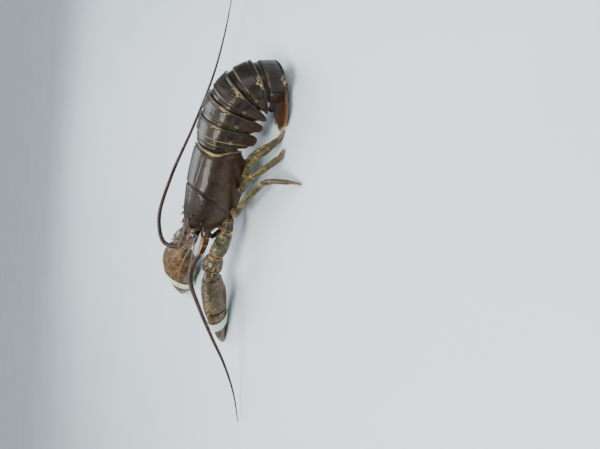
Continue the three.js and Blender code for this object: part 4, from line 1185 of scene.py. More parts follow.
def build_claw(name, side):
    spec = CLAWS[name]
    length, half, thick = spec["size"]
    share = np.concatenate([np.linspace(-0.02, 0.44, 90), np.linspace(0.444, 1.0, 150)])
    grid, angle = claw_skin(spec, name, share, 96)
    tint = claw_tint(spec, grid, angle)
    grid = claw_relief(spec, grid, angle, 51)
    low, _ = slit_lines(spec, share)
    # Behind the hinge the palm is whole; past it only the fixed finger is left under the bite
    open_at = step(share, 0.446, 0.47)
    ceiling = low + (half * 1.3 - low) * (1 - open_at)
    flat = low[:, None] - bite_fall(spec, name, share, grid) * open_at[:, None]
    ceiling = np.where(open_at[:, None] >= 1, flat, ceiling[:, None])
    shape = close_bite(spec, side, grid, tint, grid[..., 1] > ceiling, ceiling)
    random = np.random.default_rng(7 if name == "left" else 19)
    wrist, along, across, up = claw_axes(spec, side)
    count = spec["thorns"]
    for i in range(count):
        at = 0.1 + 0.32 * i / (count - 1)
        w, _, shift = smooth(CLAW_ROWS[name], at)
        root = wrist + along * at * length + across * (w * half * 0.95 + shift * length) + up * 1.5
        direction = along * 0.45 + across + up * 0.25
        shape.thorn(root, direction, 4.6 + 1.6 * random.random(), 2.3, (0.35, 0.9, 0, 0), 0.05, 12)
    for i in range(4):
        at = 0.08 + 0.1 * i
        w, t, _ = smooth(CLAW_ROWS[name], at)
        root = wrist + along * at * length + across * (w * half * 0.62) + up * (t * thick * 0.78)
        shape.thorn(root, along * 0.5 + up + across * 0.4, 1.6, 1.5, (0.3, 0.8, 0, 0), 0.05)
    return shape


def build_finger(name, side):
    spec = CLAWS[name]
    share = np.linspace(0.472, 1.0, 150)
    grid, angle = claw_skin(spec, name, share, 80)
    tint = claw_tint(spec, grid, angle)
    grid = claw_relief(spec, grid, angle, 61)
    _, high = slit_lines(spec, share)
    rise = (0.14 * spec["size"][0]) * (1 - step(share, 0.472, 0.505))
    floor = (high + rise)[:, None] + bite_fall(spec, name, share, grid)
    return close_bite(spec, side, grid, tint, grid[..., 1] < floor, floor)


BAND_ROWS = 26
BAND_GAP = 0.45


def build_band(name, side, settings):
    spec = CLAWS[name]
    length, half, thick = spec["size"]
    share = np.linspace(BAND[0], BAND[1], BAND_ROWS)
    rows = smooth(CLAW_ROWS[name], share)
    angle = turns(120)
    c, s = powered(np.cos(angle), 0.92), powered(np.sin(angle), 0.92)
    x = (share * length)[:, None] + 0.012 * length * np.sin(angle)[None]
    # The outer face bulges and ripples, the inner one lies close on the shell
    f = np.linspace(0, 1, BAND_ROWS)
    puff = (settings.band_thickness + 0.4) * (1 - 0.25 * np.abs(2 * f - 1) ** 6)[:, None]
    layers = []
    for out, ripple in ((puff, 0.1 * np.sin(angle * 3 + 1)[None]), (BAND_GAP, 0)):
        y = c * (rows[:, :1] * half + out + ripple) + rows[:, 2:3] * length
        z = s * (rows[:, 1:2] * thick + out + ripple)
        layers.append(np.stack([x, y, z], axis=-1))
    outer, inner = layers
    # The band is a closed loop: rings run round its section, columns round the claw
    section = to_world(spec, side, np.concatenate([outer, inner[::-1]], axis=0))
    shape = Shape()
    shape.loop(np.transpose(section, (1, 0, 2)))
    return shape


def article_tint(joint=0.12, warm=0.5, spots=0.5):
    def paint(share, up, colour):
        t = (share - share[0]) / (share[-1] - share[0])
        ends = np.maximum(bump(t, 0, joint), bump(t, 1, joint))[:, None]
        colour[..., 1] = warm * ends + 0.25 * step(-up, 0.3, 1)[None]
        colour[..., 0] = 0.3 * np.maximum(bump(t, 0.02, 0.03), bump(t, 0.98, 0.03))[:, None]
        colour[..., 2] = 0.4 * bump(t, 0.0, 0.05)[:, None]
        colour[..., 3] = spots
        return np.clip(colour, 0, 1)

    return paint


SPINE_TINT = (0.3, 0.9, 0, 0)

# Spines of the wrist and the arm: share of its length, how far outward and upward, and length
WRIST_SPINES = [
    (0.35, 10.5, 3, 6),
    (0.68, 10.8, 3, 7),
    (0.5, 6, 9, 5),
    (0.82, 5, 8, 5),
    (0.3, 2, 9, 4),
    (0.75, -6, 7.5, 4.5),
]
ARM_SPINES = [(0.82, 0.2, 1, 5), (0.9, 0.9, 0.4, 5), (0.55, 0.1, 1, 3.5)]
WRIST_ROWS = [[0, 6.5, 6.5], [0.2, 10, 9.5], [0.55, 12.5, 11], [0.85, 11, 10], [1, 7.5, 7]]
ARM_ROWS = [[0, 5, 6.5], [0.3, 6.5, 8.5], [0.75, 8, 9.5], [1, 7, 8]]


def scale_rows(rows, scale):
    return [[share, wide * scale, high * scale] for share, wide, high in rows]


def build_wrist(name, side):
    spec = CLAWS[name]
    k = spec["scale"]
    carpus, wrist = vec(*spec["carpus"]), vec(*spec["wrist"])
    end = wrist + (carpus - wrist) * 0.03
    shape = Shape()
    rows = scale_rows(WRIST_ROWS, k)
    paint = article_tint(0.1, 0.6, 1.0)
    shape.tube(carpus, end, rows, 70, 72, rough=0.35, size=3.2, tint=paint, seed=71, mottle=0.75)
    along = unit(wrist - carpus)
    outward = np.cross(UP, along) * side
    for share, u, w, length in WRIST_SPINES:
        direction = outward * u + UP * w
        root = carpus + (wrist - carpus) * share + direction * 0.86 * k
        shape.thorn(root, direction + along * 6, length, 1.9, SPINE_TINT, 0.1, 12)
    random = np.random.default_rng(5)
    for _ in range(16):
        share, turn = 0.2 + 0.65 * random.random(), random.uniform(-1.3, 1.3)
        w, h = smooth(rows, share)
        direction = outward * math.sin(turn) * w + UP * math.cos(turn) * h
        shape.thorn(carpus + (wrist - carpus) * share + direction * 0.95, direction + along * 3, 1.1, 1.0)
    return shape


def build_arm(name, side):
    spec = CLAWS[name]
    k = spec["scale"]
    merus, carpus = vec(*spec["merus"]), vec(*spec["carpus"])
    shape = Shape()
    paint = article_tint(0.1, 0.5, 0.8)
    rows = scale_rows(ARM_ROWS, k)
    shape.tube(merus, carpus, rows, 70, 60, rough=0.25, size=3, tint=paint, seed=81, mottle=0.4)
    along = unit(carpus - merus)
    for share, u, w, length in ARM_SPINES:
        direction = unit(np.cross(UP, along) * side * u + UP * w)
        root = merus + (carpus - merus) * share + direction * 7.6 * k
        shape.thorn(root, direction + along * 0.8, length, 1.6, SPINE_TINT, 0.1, 12)
    return shape


def build_hip(name):
    spec = CLAWS[name]
    coxa, ischium, merus = vec(*spec["coxa"]), vec(*spec["ischium"]), vec(*spec["merus"])
    shape = Shape()
    paint = article_tint(0.15, 0.5, 0.2)
    shape.tube(coxa, ischium, [[0, 6, 6], [0.5, 7, 7], [1, 6.4, 6.4]], 30, 40, tint=paint, seed=83)
    shape.tube(ischium, merus, [[-0.2, 5.6, 5.8], [0.5, 6, 6.4], [1, 5.4, 5.8]], 30, 40, tint=paint, seed=84)
    return shape


# Walking legs. The two front pairs end in small pincers, the others in a plain toe

HIP_ROWS = [[0, 4.6, 5], [0.55, 5, 5.4], [1, 3.8, 4.2]]
THIGH_ROWS = [
    [-0.06, 3, 3.2], [0.1, 3.3, 3.9], [0.16, 2.9, 3.5],
    [0.22, 3.2, 4.3], [0.6, 3, 4], [1, 2.9, 3.5],
]
SHIN_ROWS = [[0, 2.6, 3], [0.5, 3.1, 3.6], [1, 2.9, 3.4]]
PALM_ROWS = [[-0.08, 2.4, 2.8], [0.3, 2.6, 3.3], [0.8, 2.6, 3.6], [1, 2.2, 3.2]]
FOOT_ROWS = [[-0.08, 2.4, 2.8], [0.4, 2.4, 2.9], [1, 1.7, 2]]
UPPER_PINCER = [[-0.2, 1.6, 1.5], [0.4, 1.3, 1.2], [1, 0.4, 0.35]]
LOWER_PINCER = [[-0.2, 1.6, 1.5], [0.4, 1.3, 1.2], [1, 0.6, 0.55]]
TOE_ROWS = [[-0.15, 1.6, 1.8], [0.5, 1.3, 1.4], [1, 0.6, 0.6]]


def leg_upper(name, index):
    hip, socket, knee = (vec(*p) for p in LEGS[name][index][:3])
    k = LEG_SCALES[index]
    shape = Shape()
    paint = article_tint(0.15, 0.5, 0.2)
    shape.tube(hip, socket, scale_rows(HIP_ROWS, k), 26, 36, rough=0.15, size=2, tint=paint, seed=90 + index)
    paint = article_tint(0.07, 0.8, 0.1)
    rows = scale_rows(THIGH_ROWS, k)
    shape.tube(socket, knee, rows, 80, 36, 1.5, rough=0.12, size=2, tint=paint, seed=94 + index, mottle=0.25)
    return shape


def tip_tint(share, up, colour):
    t = (share - share[0]) / (share[-1] - share[0])
    colour[..., 1] = 0.9 * step(t, 0.0, 0.5)[:, None]
    colour[..., 2] = 0.9 * step(t, 0.55, 1.0)[:, None]
    return colour


def leg_lower(name, index):
    knee, wrist, ankle, toe = (vec(*p) for p in LEGS[name][index][2:])
    k = LEG_SCALES[index]
    shape = Shape()
    joint = article_tint(0.1, 0.8, 0.1)
    pincer = index < 2
    shape.tube(knee, wrist, scale_rows(SHIN_ROWS, k), 34, 32, tint=joint, seed=98)
    shape.tube(wrist, ankle, scale_rows(PALM_ROWS if pincer else FOOT_ROWS, k), 40, 32, tint=joint, seed=99)
    if pincer:
        _, side, up = axes_along(toe - ankle)
        start = ankle + up * 1.3 + side * 0.2
        shape.tube(start, toe + up * 2.2, UPPER_PINCER, 24, 20, tint=tip_tint, rough=0.05)
        shape.tube(ankle - up * 1.4, toe, LOWER_PINCER, 24, 20, tint=tip_tint, rough=0.05)
    else:
        shape.tube(ankle, toe, TOE_ROWS, 26, 20, tint=tip_tint, rough=0.05)
    return shape


# Head limbs and eyes


def stalk_tint(share, up, colour):
    colour[..., 1] = (1 - 0.6 * step(share, 0.8, 1.0))[:, None]
    return colour


def build_eye(side):
    centre, root = on_side(EYE_CENTRE, side), vec(5.2 * side, -50, 58)
    shape = Shape()
    rows = [[0, 2.4, 2.4], [0.75, 2.6, 2.8], [1, 3, 3]]
    shape.tube(root, centre, rows, 20, 32, tint=stalk_tint, rough=0.08, size=1)
    v = np.linspace(0.03, math.pi - 0.03, 40)
    u = turns(56)
    along, across, up = axes_along(unit(centre - root))
    grid = (
        centre
        + along * (np.cos(v) * EYE_RADIUS)[:, None, None]
        + across * (np.sin(v)[:, None] * np.cos(u)[None] * EYE_RADIUS)[..., None]
        + up * (np.sin(v)[:, None] * np.sin(u)[None] * EYE_RADIUS * 1.08)[..., None]
    )
    tint = blank_tint(grid)
    tint[..., 1] = step(v, 2.15, 2.45)[:, None]
    shape.grid(grid, tint, caps=0)
    return shape


BASE_ROWS = [
    [[0, 5, 5], [0.35, 6, 5.6], [1, 5.2, 4.8]],
    [[-0.25, 4.4, 4.2], [0.5, 4.8, 4.6], [1, 4.1, 3.9]],
    [[-0.15, 3.6, 3.5], [0.5, 3.9, 3.7], [1, 3.1, 3]],
]
# The flat scale beside a long feeler's base: place along Y, across, height, half width, half thickness
SCALE_ROWS = [
    [-79, 22.2, 53, 0.5, 0.5],
    [-71, 21.4, 52, 2.5, 1],
    [-63, 20.2, 51, 3.6, 1.2],
    [-56, 18, 50, 2.2, 1.1],
]


def build_antenna_base(side):
    a, b = vec(11.5 * side, -48, 45.5), vec(15 * side, -60, 45.5)
    c, d = vec(17.5 * side, -68.5, 46.5), vec(18.5 * side, -79, 49)
    shape = Shape()
    paint = article_tint(0.12, 0.9, 0.3)
    first, second, third = BASE_ROWS
    shape.tube(a, b, first, 34, 40, rough=0.2, tint=paint, seed=101)
    shape.tube(b, c, second, 30, 36, rough=0.15, tint=paint, seed=102)
    shape.tube(c, d, third, 30, 36, rough=0.12, tint=paint, seed=103)
    y = np.linspace(-56, -79, 40)
    r = smooth(SCALE_ROWS, y)
    angle = turns(30)
    x = r[:, :1] * side + np.cos(angle)[None] * r[:, 2:3]
    z = r[:, 1:2] + np.sin(angle)[None] * r[:, 3:4] * (1 + 0.3 * np.cos(angle * 3))[None]
    grid = np.stack([x, np.broadcast_to(y[:, None], x.shape), z], axis=-1)
    tint = blank_tint(grid)
    tint[..., 1] = 0.35 + 0.5 * step(-y, 64, 79)[:, None] + 0.25 * np.cos(angle)[None] * side
    tint[..., 0] = 0.12 * np.abs(np.cos(angle))[None] ** 4
    tint[..., 3] = 0.6
    shape.grid(grid, np.clip(tint, 0, 1))
    shape.thorn((17.5 * side, -57, 47), (0.6 * side, -1, 0.3), 8, 1.6)
    shape.thorn((12.5 * side, -62, 42.5), (0, -1, -0.3), 5, 1.4)
    return shape


def build_antennule_base(side):
    root, knee, wrist = vec(5 * side, -48, 50.5), vec(5.6 * side, -64, 51), vec(6.4 * side, -72, 53)
    shape = Shape()
    paint = article_tint(0.12, 0.8, 0.2)
    shape.tube(root, knee, [[0, 2.2, 2.4], [0.3, 2.7, 2.6], [1, 2.2, 2.2]], 34, 28, rough=0.1, tint=paint)
    shape.tube(knee, wrist, [[-0.1, 2, 2], [0.5, 1.9, 1.9], [1, 1.4, 1.5]], 24, 26, rough=0.08, tint=paint)
    return shape


def antennule_lines(side):
    upper = [(6.2, -70.5, 53.2), (8, -88, 60), (13, -106, 66), (21, -122, 67)]
    lower = [(6.8, -70.5, 52.4), (11, -88, 54), (20, -102, 58), (32, -112, 60)]
    return [[on_side(point, side) for point in line] for line in (upper, lower)]


def build_mouthpart(side):
    root, elbow = vec(5 * side, -30, 22), vec(7.5 * side, -52, 25)
    fist, end = vec(7 * side, -62, 33), vec(6 * side, -56, 40)
    shape = Shape()
    paint = article_tint(0.1, 0.7, 0.3)
    shape.tube(root, elbow, [[0, 3.4, 4], [0.4, 3.9, 4.6], [1, 3, 3.6]], 50, 32, rough=0.15, tint=paint)
    shape.tube(elbow, fist, [[-0.15, 2.6, 3], [0.5, 2.9, 3.2], [1, 2.3, 2.6]], 30, 28, rough=0.1, tint=paint)
    shape.tube(fist, end, [[-0.15, 2.1, 2.3], [0.5, 1.9, 2], [1, 0.9, 0.9]], 24, 24, rough=0.08, tint=paint)
    for i in range(7):
        at = root + (elbow - root) * (0.15 + 0.12 * i) + vec(-3.2 * side, 0, 0.5)
        shape.thorn(at, (-0.9 * side, -0.3, 0.1), 1.2, 0.6)
    return shape


# Repeated parts made with geometry nodes


def new_tree(name, sockets):
    tree = bpy.data.node_groups.new(name, "GeometryNodeTree")
    tree.interface.new_socket("Geometry", in_out="INPUT", socket_type="NodeSocketGeometry")
    made = {}
    for label, kind, value in sockets:
        socket = tree.interface.new_socket(label, in_out="INPUT", socket_type=kind)
        if value is not None:
            socket.default_value = value
        made[label] = socket.identifier
    tree.interface.new_socket("Geometry", in_out="OUTPUT", socket_type="NodeSocketGeometry")
    start = tree.nodes.new("NodeGroupInput")
    end = tree.nodes.new("NodeGroupOutput")
    return tree, made, start, end


def close_tree(tree, geometry, start, end):
    real = node(tree, "GeometryNodeRealizeInstances")
    coat = node(tree, "GeometryNodeSetMaterial")
    tree.links.new(geometry, real.inputs["Geometry"])
    tree.links.new(real.outputs["Geometry"], coat.inputs["Geometry"])
    tree.links.new(start.outputs["Material"], coat.inputs["Material"])
    tree.links.new(coat.outputs["Geometry"], end.inputs["Geometry"])


def feeler_tree():
    """Sweeps a ringed whip along a line of points that carry their own thickness."""
    tree, names, start, end = new_tree(
        "ringed_whip",
        [
            ("Ring spacing", "NodeSocketFloat", 0.0013),
            ("Ring height", "NodeSocketFloat", 0.045),
            ("Sides", "NodeSocketInt", 14),
            ("Material", "NodeSocketMaterial", None),
        ],
    )
    link = tree.links.new
    spacing = start.outputs["Ring spacing"]
    curve = node(tree, "GeometryNodeMeshToCurve")
    link(start.outputs["Geometry"], curve.inputs["Mesh"])
    fine = node(tree, "GeometryNodeResampleCurve", mode="LENGTH")
    link(curve.outputs["Curve"], fine.inputs["Curve"])
    link(calculate(tree, "DIVIDE", spacing, 4), fine.inputs["Length"])
    where = node(tree, "GeometryNodeSplineParameter")
    rings = calculate(tree, "DIVIDE", where.outputs["Length"], spacing)
    wave = calculate(tree, "SINE", calculate(tree, "MULTIPLY", rings, 2 * math.pi))
    high = calculate(tree, "MULTIPLY", wave, start.outputs["Ring height"])
    thick = node(tree, "GeometryNodeInputNamedAttribute", data_type="FLOAT")
    thick.inputs["Name"].default_value = "thickness"
    radius = calculate(tree, "MULTIPLY", calculate(tree, "ADD", high, 1), thick.outputs["Attribute"])
    ring = node(tree, "GeometryNodeCurvePrimitiveCircle")
    ring.inputs["Radius"].default_value = 1
    link(start.outputs["Sides"], ring.inputs["Resolution"])
    sweep = node(tree, "GeometryNodeCurveToMesh")
    sweep.inputs["Fill Caps"].default_value = True
    link(fine.outputs["Curve"], sweep.inputs["Curve"])
    link(radius, sweep.inputs["Scale"])
    link(ring.outputs["Curve"], sweep.inputs["Profile Curve"])
    even = node(tree, "GeometryNodeSetShadeSmooth")
    link(sweep.outputs["Mesh"], even.inputs["Geometry"])
    close_tree(tree, even.outputs["Geometry"], start, end)
    return tree, names


def bristle_tree():
    """Sets a tapering bristle on each point, pointing the way that the point says."""
    tree, names, start, end = new_tree(
        "bristles",
        [
            ("Length", "NodeSocketFloat", 0.003),
            ("Thickness", "NodeSocketFloat", 0.00016),
            ("Seed", "NodeSocketInt", 4),
            ("Material", "NodeSocketMaterial", None),
        ],
    )
    link = tree.links.new
    hair = node(tree, "GeometryNodeMeshCone")
    hair.inputs["Vertices"].default_value = 5
    hair.inputs["Radius Top"].default_value = 0.00003
    link(start.outputs["Thickness"], hair.inputs["Radius Bottom"])
    link(start.outputs["Length"], hair.inputs["Depth"])
    way = node(tree, "GeometryNodeInputNamedAttribute", data_type="FLOAT_VECTOR")
    way.inputs["Name"].default_value = "way"
    turn = node(tree, "FunctionNodeAlignRotationToVector", axis="Z")
    link(way.outputs["Attribute"], turn.inputs["Vector"])
    size = node(tree, "FunctionNodeRandomValue", data_type="FLOAT")
    size.inputs[2].default_value, size.inputs[3].default_value = BRISTLE_SIZES
    link(start.outputs["Seed"], size.inputs["Seed"])
    put = node(tree, "GeometryNodeInstanceOnPoints")
    link(start.outputs["Geometry"], put.inputs["Points"])
    link(hair.outputs["Mesh"], put.inputs["Instance"])
    link(turn.outputs["Rotation"], put.inputs["Rotation"])
    link(size.outputs[1], put.inputs["Scale"])
    close_tree(tree, put.outputs["Instances"], start, end)
    return tree, names


def run_tree(source, made, values, name):
    """The evaluated result of a tree as a plain mesh object. The source goes away."""
    tree, names = made
    modifier = source.modifiers.new("made", "NODES")
    modifier.node_group = tree
    for label, value in values.items():
        modifier[names[label]] = value
    graph = bpy.context.evaluated_depsgraph_get()
    mesh = bpy.data.meshes.new_from_object(source.evaluated_get(graph))
    mesh.name = name
    source.modifiers.clear()
    bpy.data.objects.remove(source)
    return new_object(name, mesh)


def to_row(points):
    return (np.asarray(points, float) * STOUT + SHIFT) / 1000


def feeler_radius(share):
    return 2.5 * (1 - share) ** 0.8 + 0.45


def fork_radius(share):
    return 0.95 - 0.6 * share


def whip_source(lines, radius_of, low=0.0, high=1.0):
    """Lines of points with their thickness, each reaching from `low` to `high` of its whip's length."""
    points, edges, thick = [], [], []
    for line in lines:
        first = len(points)
        share = low + (high - low) * np.linspace(0, 1, len(line))
        points += to_row(line).tolist()
        thick += [r / 1000 for r in radius_of(share)]
        edges += [(first + i, first + i + 1) for i in range(len(line) - 1)]
    mesh = bpy.data.meshes.new("whip_line")
    mesh.from_pydata(points, edges, [])
    attribute = mesh.attributes.new("thickness", "FLOAT", "POINT")
    attribute.data.foreach_set("value", np.array(thick, np.float32))
    return new_object("whip_line", mesh)


def join_into(main, other):
    """Adds another plain mesh object to one, with its points unmoved."""
    data = other.data
    bm = bmesh.new()
    bm.from_mesh(main.data)
    bm.from_mesh(data)
    bpy.data.objects.remove(other)
    bpy.data.meshes.remove(data)
    bm.to_mesh(main.data)
    bm.free()


def line_fan(start, end, count, way, spread, seed):
    """Root points along a line and, for each, the way that its bristle points."""
    random = np.random.default_rng(seed)
    share = np.linspace(0, 1, count)[:, None]
    roots = np.asarray(start, float) + (np.asarray(end, float) - np.asarray(start, float)) * share
    ways = np.asarray(way, float) + random.normal(0, spread, (count, 3))
    return roots + random.normal(0, 0.35, (count, 3)), ways / np.linalg.norm(ways, axis=1)[:, None]


def clear_of_floor(roots, ways, length):
    """Lifts roots and bends ways just enough that no bristle goes under the floor."""
    roots[:, 2] = np.maximum(roots[:, 2], BRISTLE_CLEARANCE)
    least = (BRISTLE_CLEARANCE - roots[:, 2]) / (length * BRISTLE_SIZES[1])
    low = ways[:, 2] < least
    flat = ways[low, :2]
    flat *= (np.sqrt(1 - least[low] ** 2) / np.maximum(np.linalg.norm(flat, axis=1), 1e-6))[:, None]
    ways[low] = np.column_stack([flat, least[low]])
    return roots, ways


def gather(fans):
    """The roots and the ways of several rows of bristles."""
    return [np.vstack(part) for part in zip(*fans)]


def add_bristles(piece, made, roots, ways, size, seed, kind):
    length, thickness = size
    piece.data.materials.append(material(kind))
    roots, ways = clear_of_floor(to_row(roots), np.array(ways, float), length)
    mesh = bpy.data.meshes.new("bristle_roots")
    mesh.from_pydata(roots.tolist(), [], [])
    way = mesh.attributes.new("way", "FLOAT_VECTOR", "POINT")
    way.data.foreach_set("vector", np.asarray(ways, np.float32).ravel())
    source = new_object("bristle_roots", mesh)
    values = {"Length": length, "Thickness": thickness, "Seed": seed, "Material": material(kind)}
    join_into(piece, run_tree(source, made, values, "bristles"))


# Settings and operators


class LobsterShellSettings(bpy.types.PropertyGroup):
    groove_depth: bpy.props.FloatProperty(
        name="Groove depth",
        description="Depth of the groove across the carapace, in millimetres",
        default=1.5,
        min=0,
    )


class LobsterLimbSettings(bpy.types.PropertyGroup):
    ring_spacing: bpy.props.FloatProperty(
        name="Feeler ring spacing",
        description="Length of one ring of a feeler",
        default=0.0010,
        unit="LENGTH",
    )
    bristle_length: bpy.props.FloatProperty(
        name="Bristle length",
        description="Length of the fringe on the tail fan",
        default=0.0032,
        unit="LENGTH",
    )
    band_thickness: bpy.props.FloatProperty(
        name="Band thickness",
        description="Thickness of the rubber bands, in millimetres",
        default=1.5,
        min=0.5,
    )


class LobsterStageSettings(bpy.types.PropertyGroup):
    light: bpy.props.FloatProperty(
        name="Light",
        description="Strength of the main soft light",
        default=17.0,
        min=0,
    )
    daylight: bpy.props.FloatProperty(
        name="Daylight",
        description="Strength of the even light over the whole floor",
        default=1.5,
        min=0,
    )


class MakeCarapace(bpy.types.Operator):
    """Carapace with beak, grooves, rims and spines"""

    bl_idname = "lobster.carapace"
    bl_label = "Carapace"

    def execute(self, context):
        shape = build_carapace(context.scene.lobster_shell)
        finish_piece(shape.make("carapace_shell"), "carapace", "shell")
        return {"FINISHED"}


# Rows of bristles on a mouthpart: from, to, how far off its middle line, count, way and spread
MOUTH_BRISTLES = [
    ((5, -34, 22), (7.5, -52, 25), (-2.6, 0, 1), 90, (-1, -0.4, 0.2), 0.3),
    ((7.5, -52, 25), (7, -62, 33), (-2.6, 0, 1), 90, (-1, -0.7, 0.1), 0.35),
    ((7, -61, 33), (6, -57, 39), (0, -2.4, 0), 70, (-0.3, -1, 0.3), 0.4),
]


class MakeUnderside(bpy.types.Operator):
    """Underside of the thorax and the outer mouthparts"""

    bl_idname = "lobster.underside"
    bl_label = "Underside and mouthparts"

    def execute(self, context):
        finish_piece(build_thorax().make("thorax_underside"), "thorax", "under")
        made = bristle_tree()
        for name, side in SIDES:
            piece = build_mouthpart(side).make(f"mouth_limb_{name}")
            fans = []
            for k, row in enumerate(MOUTH_BRISTLES):
                start, end, off, way = (on_side(row[j], side) for j in (0, 1, 2, 4))
                fans.append(line_fan(start + off, end + off, row[3], way, row[5], 31 + k))
            add_bristles(piece, made, *gather(fans), MOUTH_BRISTLE, 34, "head")
            finish_piece(piece, f"mouthpart_{name}", "head")
        return {"FINISHED"}


class MakeEyes(bpy.types.Operator):
    """Stalked black eyes"""

    bl_idname = "lobster.eyes"
    bl_label = "Eyes"

    def execute(self, context):
        for name, side in SIDES:
            finish_piece(build_eye(side).make(f"stalked_eye_{name}"), f"eye_{name}", "eye")
        return {"FINISHED"}


class MakeFeelers(bpy.types.Operator):
    """Short and long feelers with their bases"""

    bl_idname = "lobster.feelers"
    bl_label = "Feelers"

    def execute(self, context):
        spacing = context.scene.lobster_limbs.ring_spacing
        made = feeler_tree()
        last = FEELER_POINTS - 1
        for name, side in SIDES:
            base = build_antenna_base(side).make(f"feeler_base_{name}")
            finish_piece(base, f"antenna_base_{name}", "head")
            line = even_curve(ANTENNAE[name], FEELER_POINTS)
            for part, low, high in (("near", 0, FEELER_SPLIT), ("far", FEELER_SPLIT, last)):
                source = whip_source([line[low : high + 1]], feeler_radius, low / last, high / last)
                values = {"Ring spacing": spacing, "Sides": 16, "Material": material("feeler")}
                piece = run_tree(source, made, values, f"feeler_{name}_{part}")
                finish_piece(piece, f"antenna_{name}_{part}", "feeler")
            source = whip_source([even_curve(fork, 90) for fork in antennule_lines(side)], fork_radius)
            values = {"Ring spacing": spacing * 0.6, "Sides": 10, "Material": material("feeler")}
            forks = run_tree(source, made, values, f"forks_{name}")
            short = build_antennule_base(side).make(f"short_feeler_{name}")
            short.data.materials.append(material("feeler"))
            join_into(short, forks)
            finish_piece(short, f"antennule_{name}", "feeler")
        return {"FINISHED"}


class MakeAbdomen(bpy.types.Operator):
    """Six overlapping rings of the abdomen"""

    bl_idname = "lobster.abdomen"
    bl_label = "Abdomen"

    def execute(self, context):
        for index in range(len(RINGS)):
            piece = build_ring(index).make(f"abdomen_ring_{index + 1}")
            finish_piece(piece, f"abdomen_{index + 1}", "shell")
        return {"FINISHED"}


class MakeTailFan(bpy.types.Operator):
    """Tail fan plates with their fringe"""

    bl_idname = "lobster.tail_fan"
    bl_label = "Tail fan"

    def execute(self, context):
        fringe = context.scene.lobster_limbs.bristle_length
        made = bristle_tree()
        centre, _, across, up = FAN
        plates = [("telson", "telson", centre, 0, TELSON_ROWS, TELSON_LENGTH, TELSON_WIDTH / 2, 4.4, 1.2)]
        for name, side in SIDES:
            for kind, (offset, angle, length, half, drop, thick) in UROPODS.items():
                root = centre + across * offset * side + up * drop
                titles = (f"fan_{kind}_{name}", f"uropod_{kind}_{name}")
                plates.append((*titles, root, angle * side, UROPOD_ROWS, length, half, thick, 0.8))
        for seed, (title, label, *plate) in enumerate(plates):
            shape, tips, out = build_plate(*plate, 120 + seed)
            piece = shape.make(f"plate_{title}")
            spots, ways = through(tips, 3), through(out, 3)
            add_bristles(piece, made, spots, ways, (fringe, FRINGE_THICKNESS), 4 + seed, "tail")
            finish_piece(piece, label, "tail")
        return {"FINISHED"}


class MakeClaws(bpy.types.Operator):
    """Banded claws and their arms"""

    bl_idname = "lobster.claws"
    bl_label = "Claws"

    def execute(self, context):
        settings = context.scene.lobster_limbs
        for name, side in SIDES:
            builds = [
                ("claw_palm", "claw", build_claw(name, side)),
                ("claw_thumb", "claw_finger", build_finger(name, side)),
                ("claw_carpus", "claw_wrist", build_wrist(name, side)),
                ("claw_merus", "claw_arm", build_arm(name, side)),
                ("claw_coxa", "claw_hip", build_hip(name)),
            ]
            for title, label, shape in builds:
                finish_piece(shape.make(f"{title}_{name}"), f"{label}_{name}", "claw")
            band = build_band(name, side, settings).make(f"rubber_band_{name}")
            finish_piece(band, f"band_{name}", "band")
        return {"FINISHED"}


class MakeLegs(bpy.types.Operator):
    """Walking legs"""

    bl_idname = "lobster.legs"
    bl_label = "Walking legs"

    def execute(self, context):
        made = bristle_tree()
        for name, _ in SIDES:
            for index in range(len(LEG_SCALES)):
                upper = leg_upper(name, index).make(f"thigh_{index + 1}_{name}")
                finish_piece(upper, f"leg_{index + 1}_upper_{name}", "leg")
                lower = leg_lower(name, index).make(f"shin_{index + 1}_{name}")
                ankle, toe = (vec(*p) for p in LEGS[name][index][4:])
                along, side, up = axes_along(toe - ankle)
                tufts = []
                for k, away in enumerate((side, -side, up)):
                    start, end = ankle + away * 1.4, toe + away * 0.9 + up * 1.2
                    tufts.append(line_fan(start, end, 34, away + along * 0.9, 0.3, 41 + k))
                add_bristles(lower, made, *gather(tufts), LEG_BRISTLE, 44 + index, "leg")
                finish_piece(lower, f"leg_{index + 1}_lower_{name}", "leg")
        return {"FINISHED"}


# The photograph's camera: turns in degrees, focus and picture width in pixels, place in the animal's frame
CAMERA_TURNS = (113.0, 35.73, 2.69)
CAMERA_FOCUS, PICTURE_WIDTH, SENSOR_WIDTH = 466, 600, 36
CAMERA_PLACE = np.array([479.71, 160.05, 281.78])

WORLD_COLOUR = (0.72, 0.80, 0.86, 1)
WORLD_STRENGTH = 0.3
LAMP_AIM = Vector((0, 0, 0.03))

# Soft lamps: name, place, size, share of the main light's strength and colour
LAMPS = [
    ("key", (0.55, -0.25, 1.0), 0.55, 1.0, (1.0, 0.97, 0.92)),
    ("fill", (0.35, 0.85, 0.75), 0.9, 0.45, (0.90, 0.95, 1.0)),
    ("rim", (-0.9, -0.1, 0.9), 0.8, 0.7, (0.92, 0.96, 1.0)),
]


def place_camera(scene):
    azimuth, pitch, roll = (math.radians(v) for v in CAMERA_TURNS)
    back = vec(math.sin(azimuth) * math.cos(pitch), -math.cos(azimuth) * math.cos(pitch), math.sin(pitch))
    right = unit(np.cross(-back, UP))
    up = np.cross(right, -back)
    across = right * math.cos(roll) + up * math.sin(roll)
    upward = -right * math.sin(roll) + up * math.cos(roll)
    data = bpy.data.cameras.new("photo_camera")
    data.sensor_width = SENSOR_WIDTH
    data.lens = CAMERA_FOCUS / PICTURE_WIDTH * SENSOR_WIDTH
    data.clip_start, data.clip_end = 0.01, 100
    camera = new_object("photo_camera", data)
    # The photograph was taken with the camera turned on its side
    columns = Matrix((-upward, across, back)).transposed()
    camera.matrix_world = Matrix.Translation((CAMERA_PLACE + SHIFT) / 1000) @ columns.to_4x4()
    scene.camera = camera


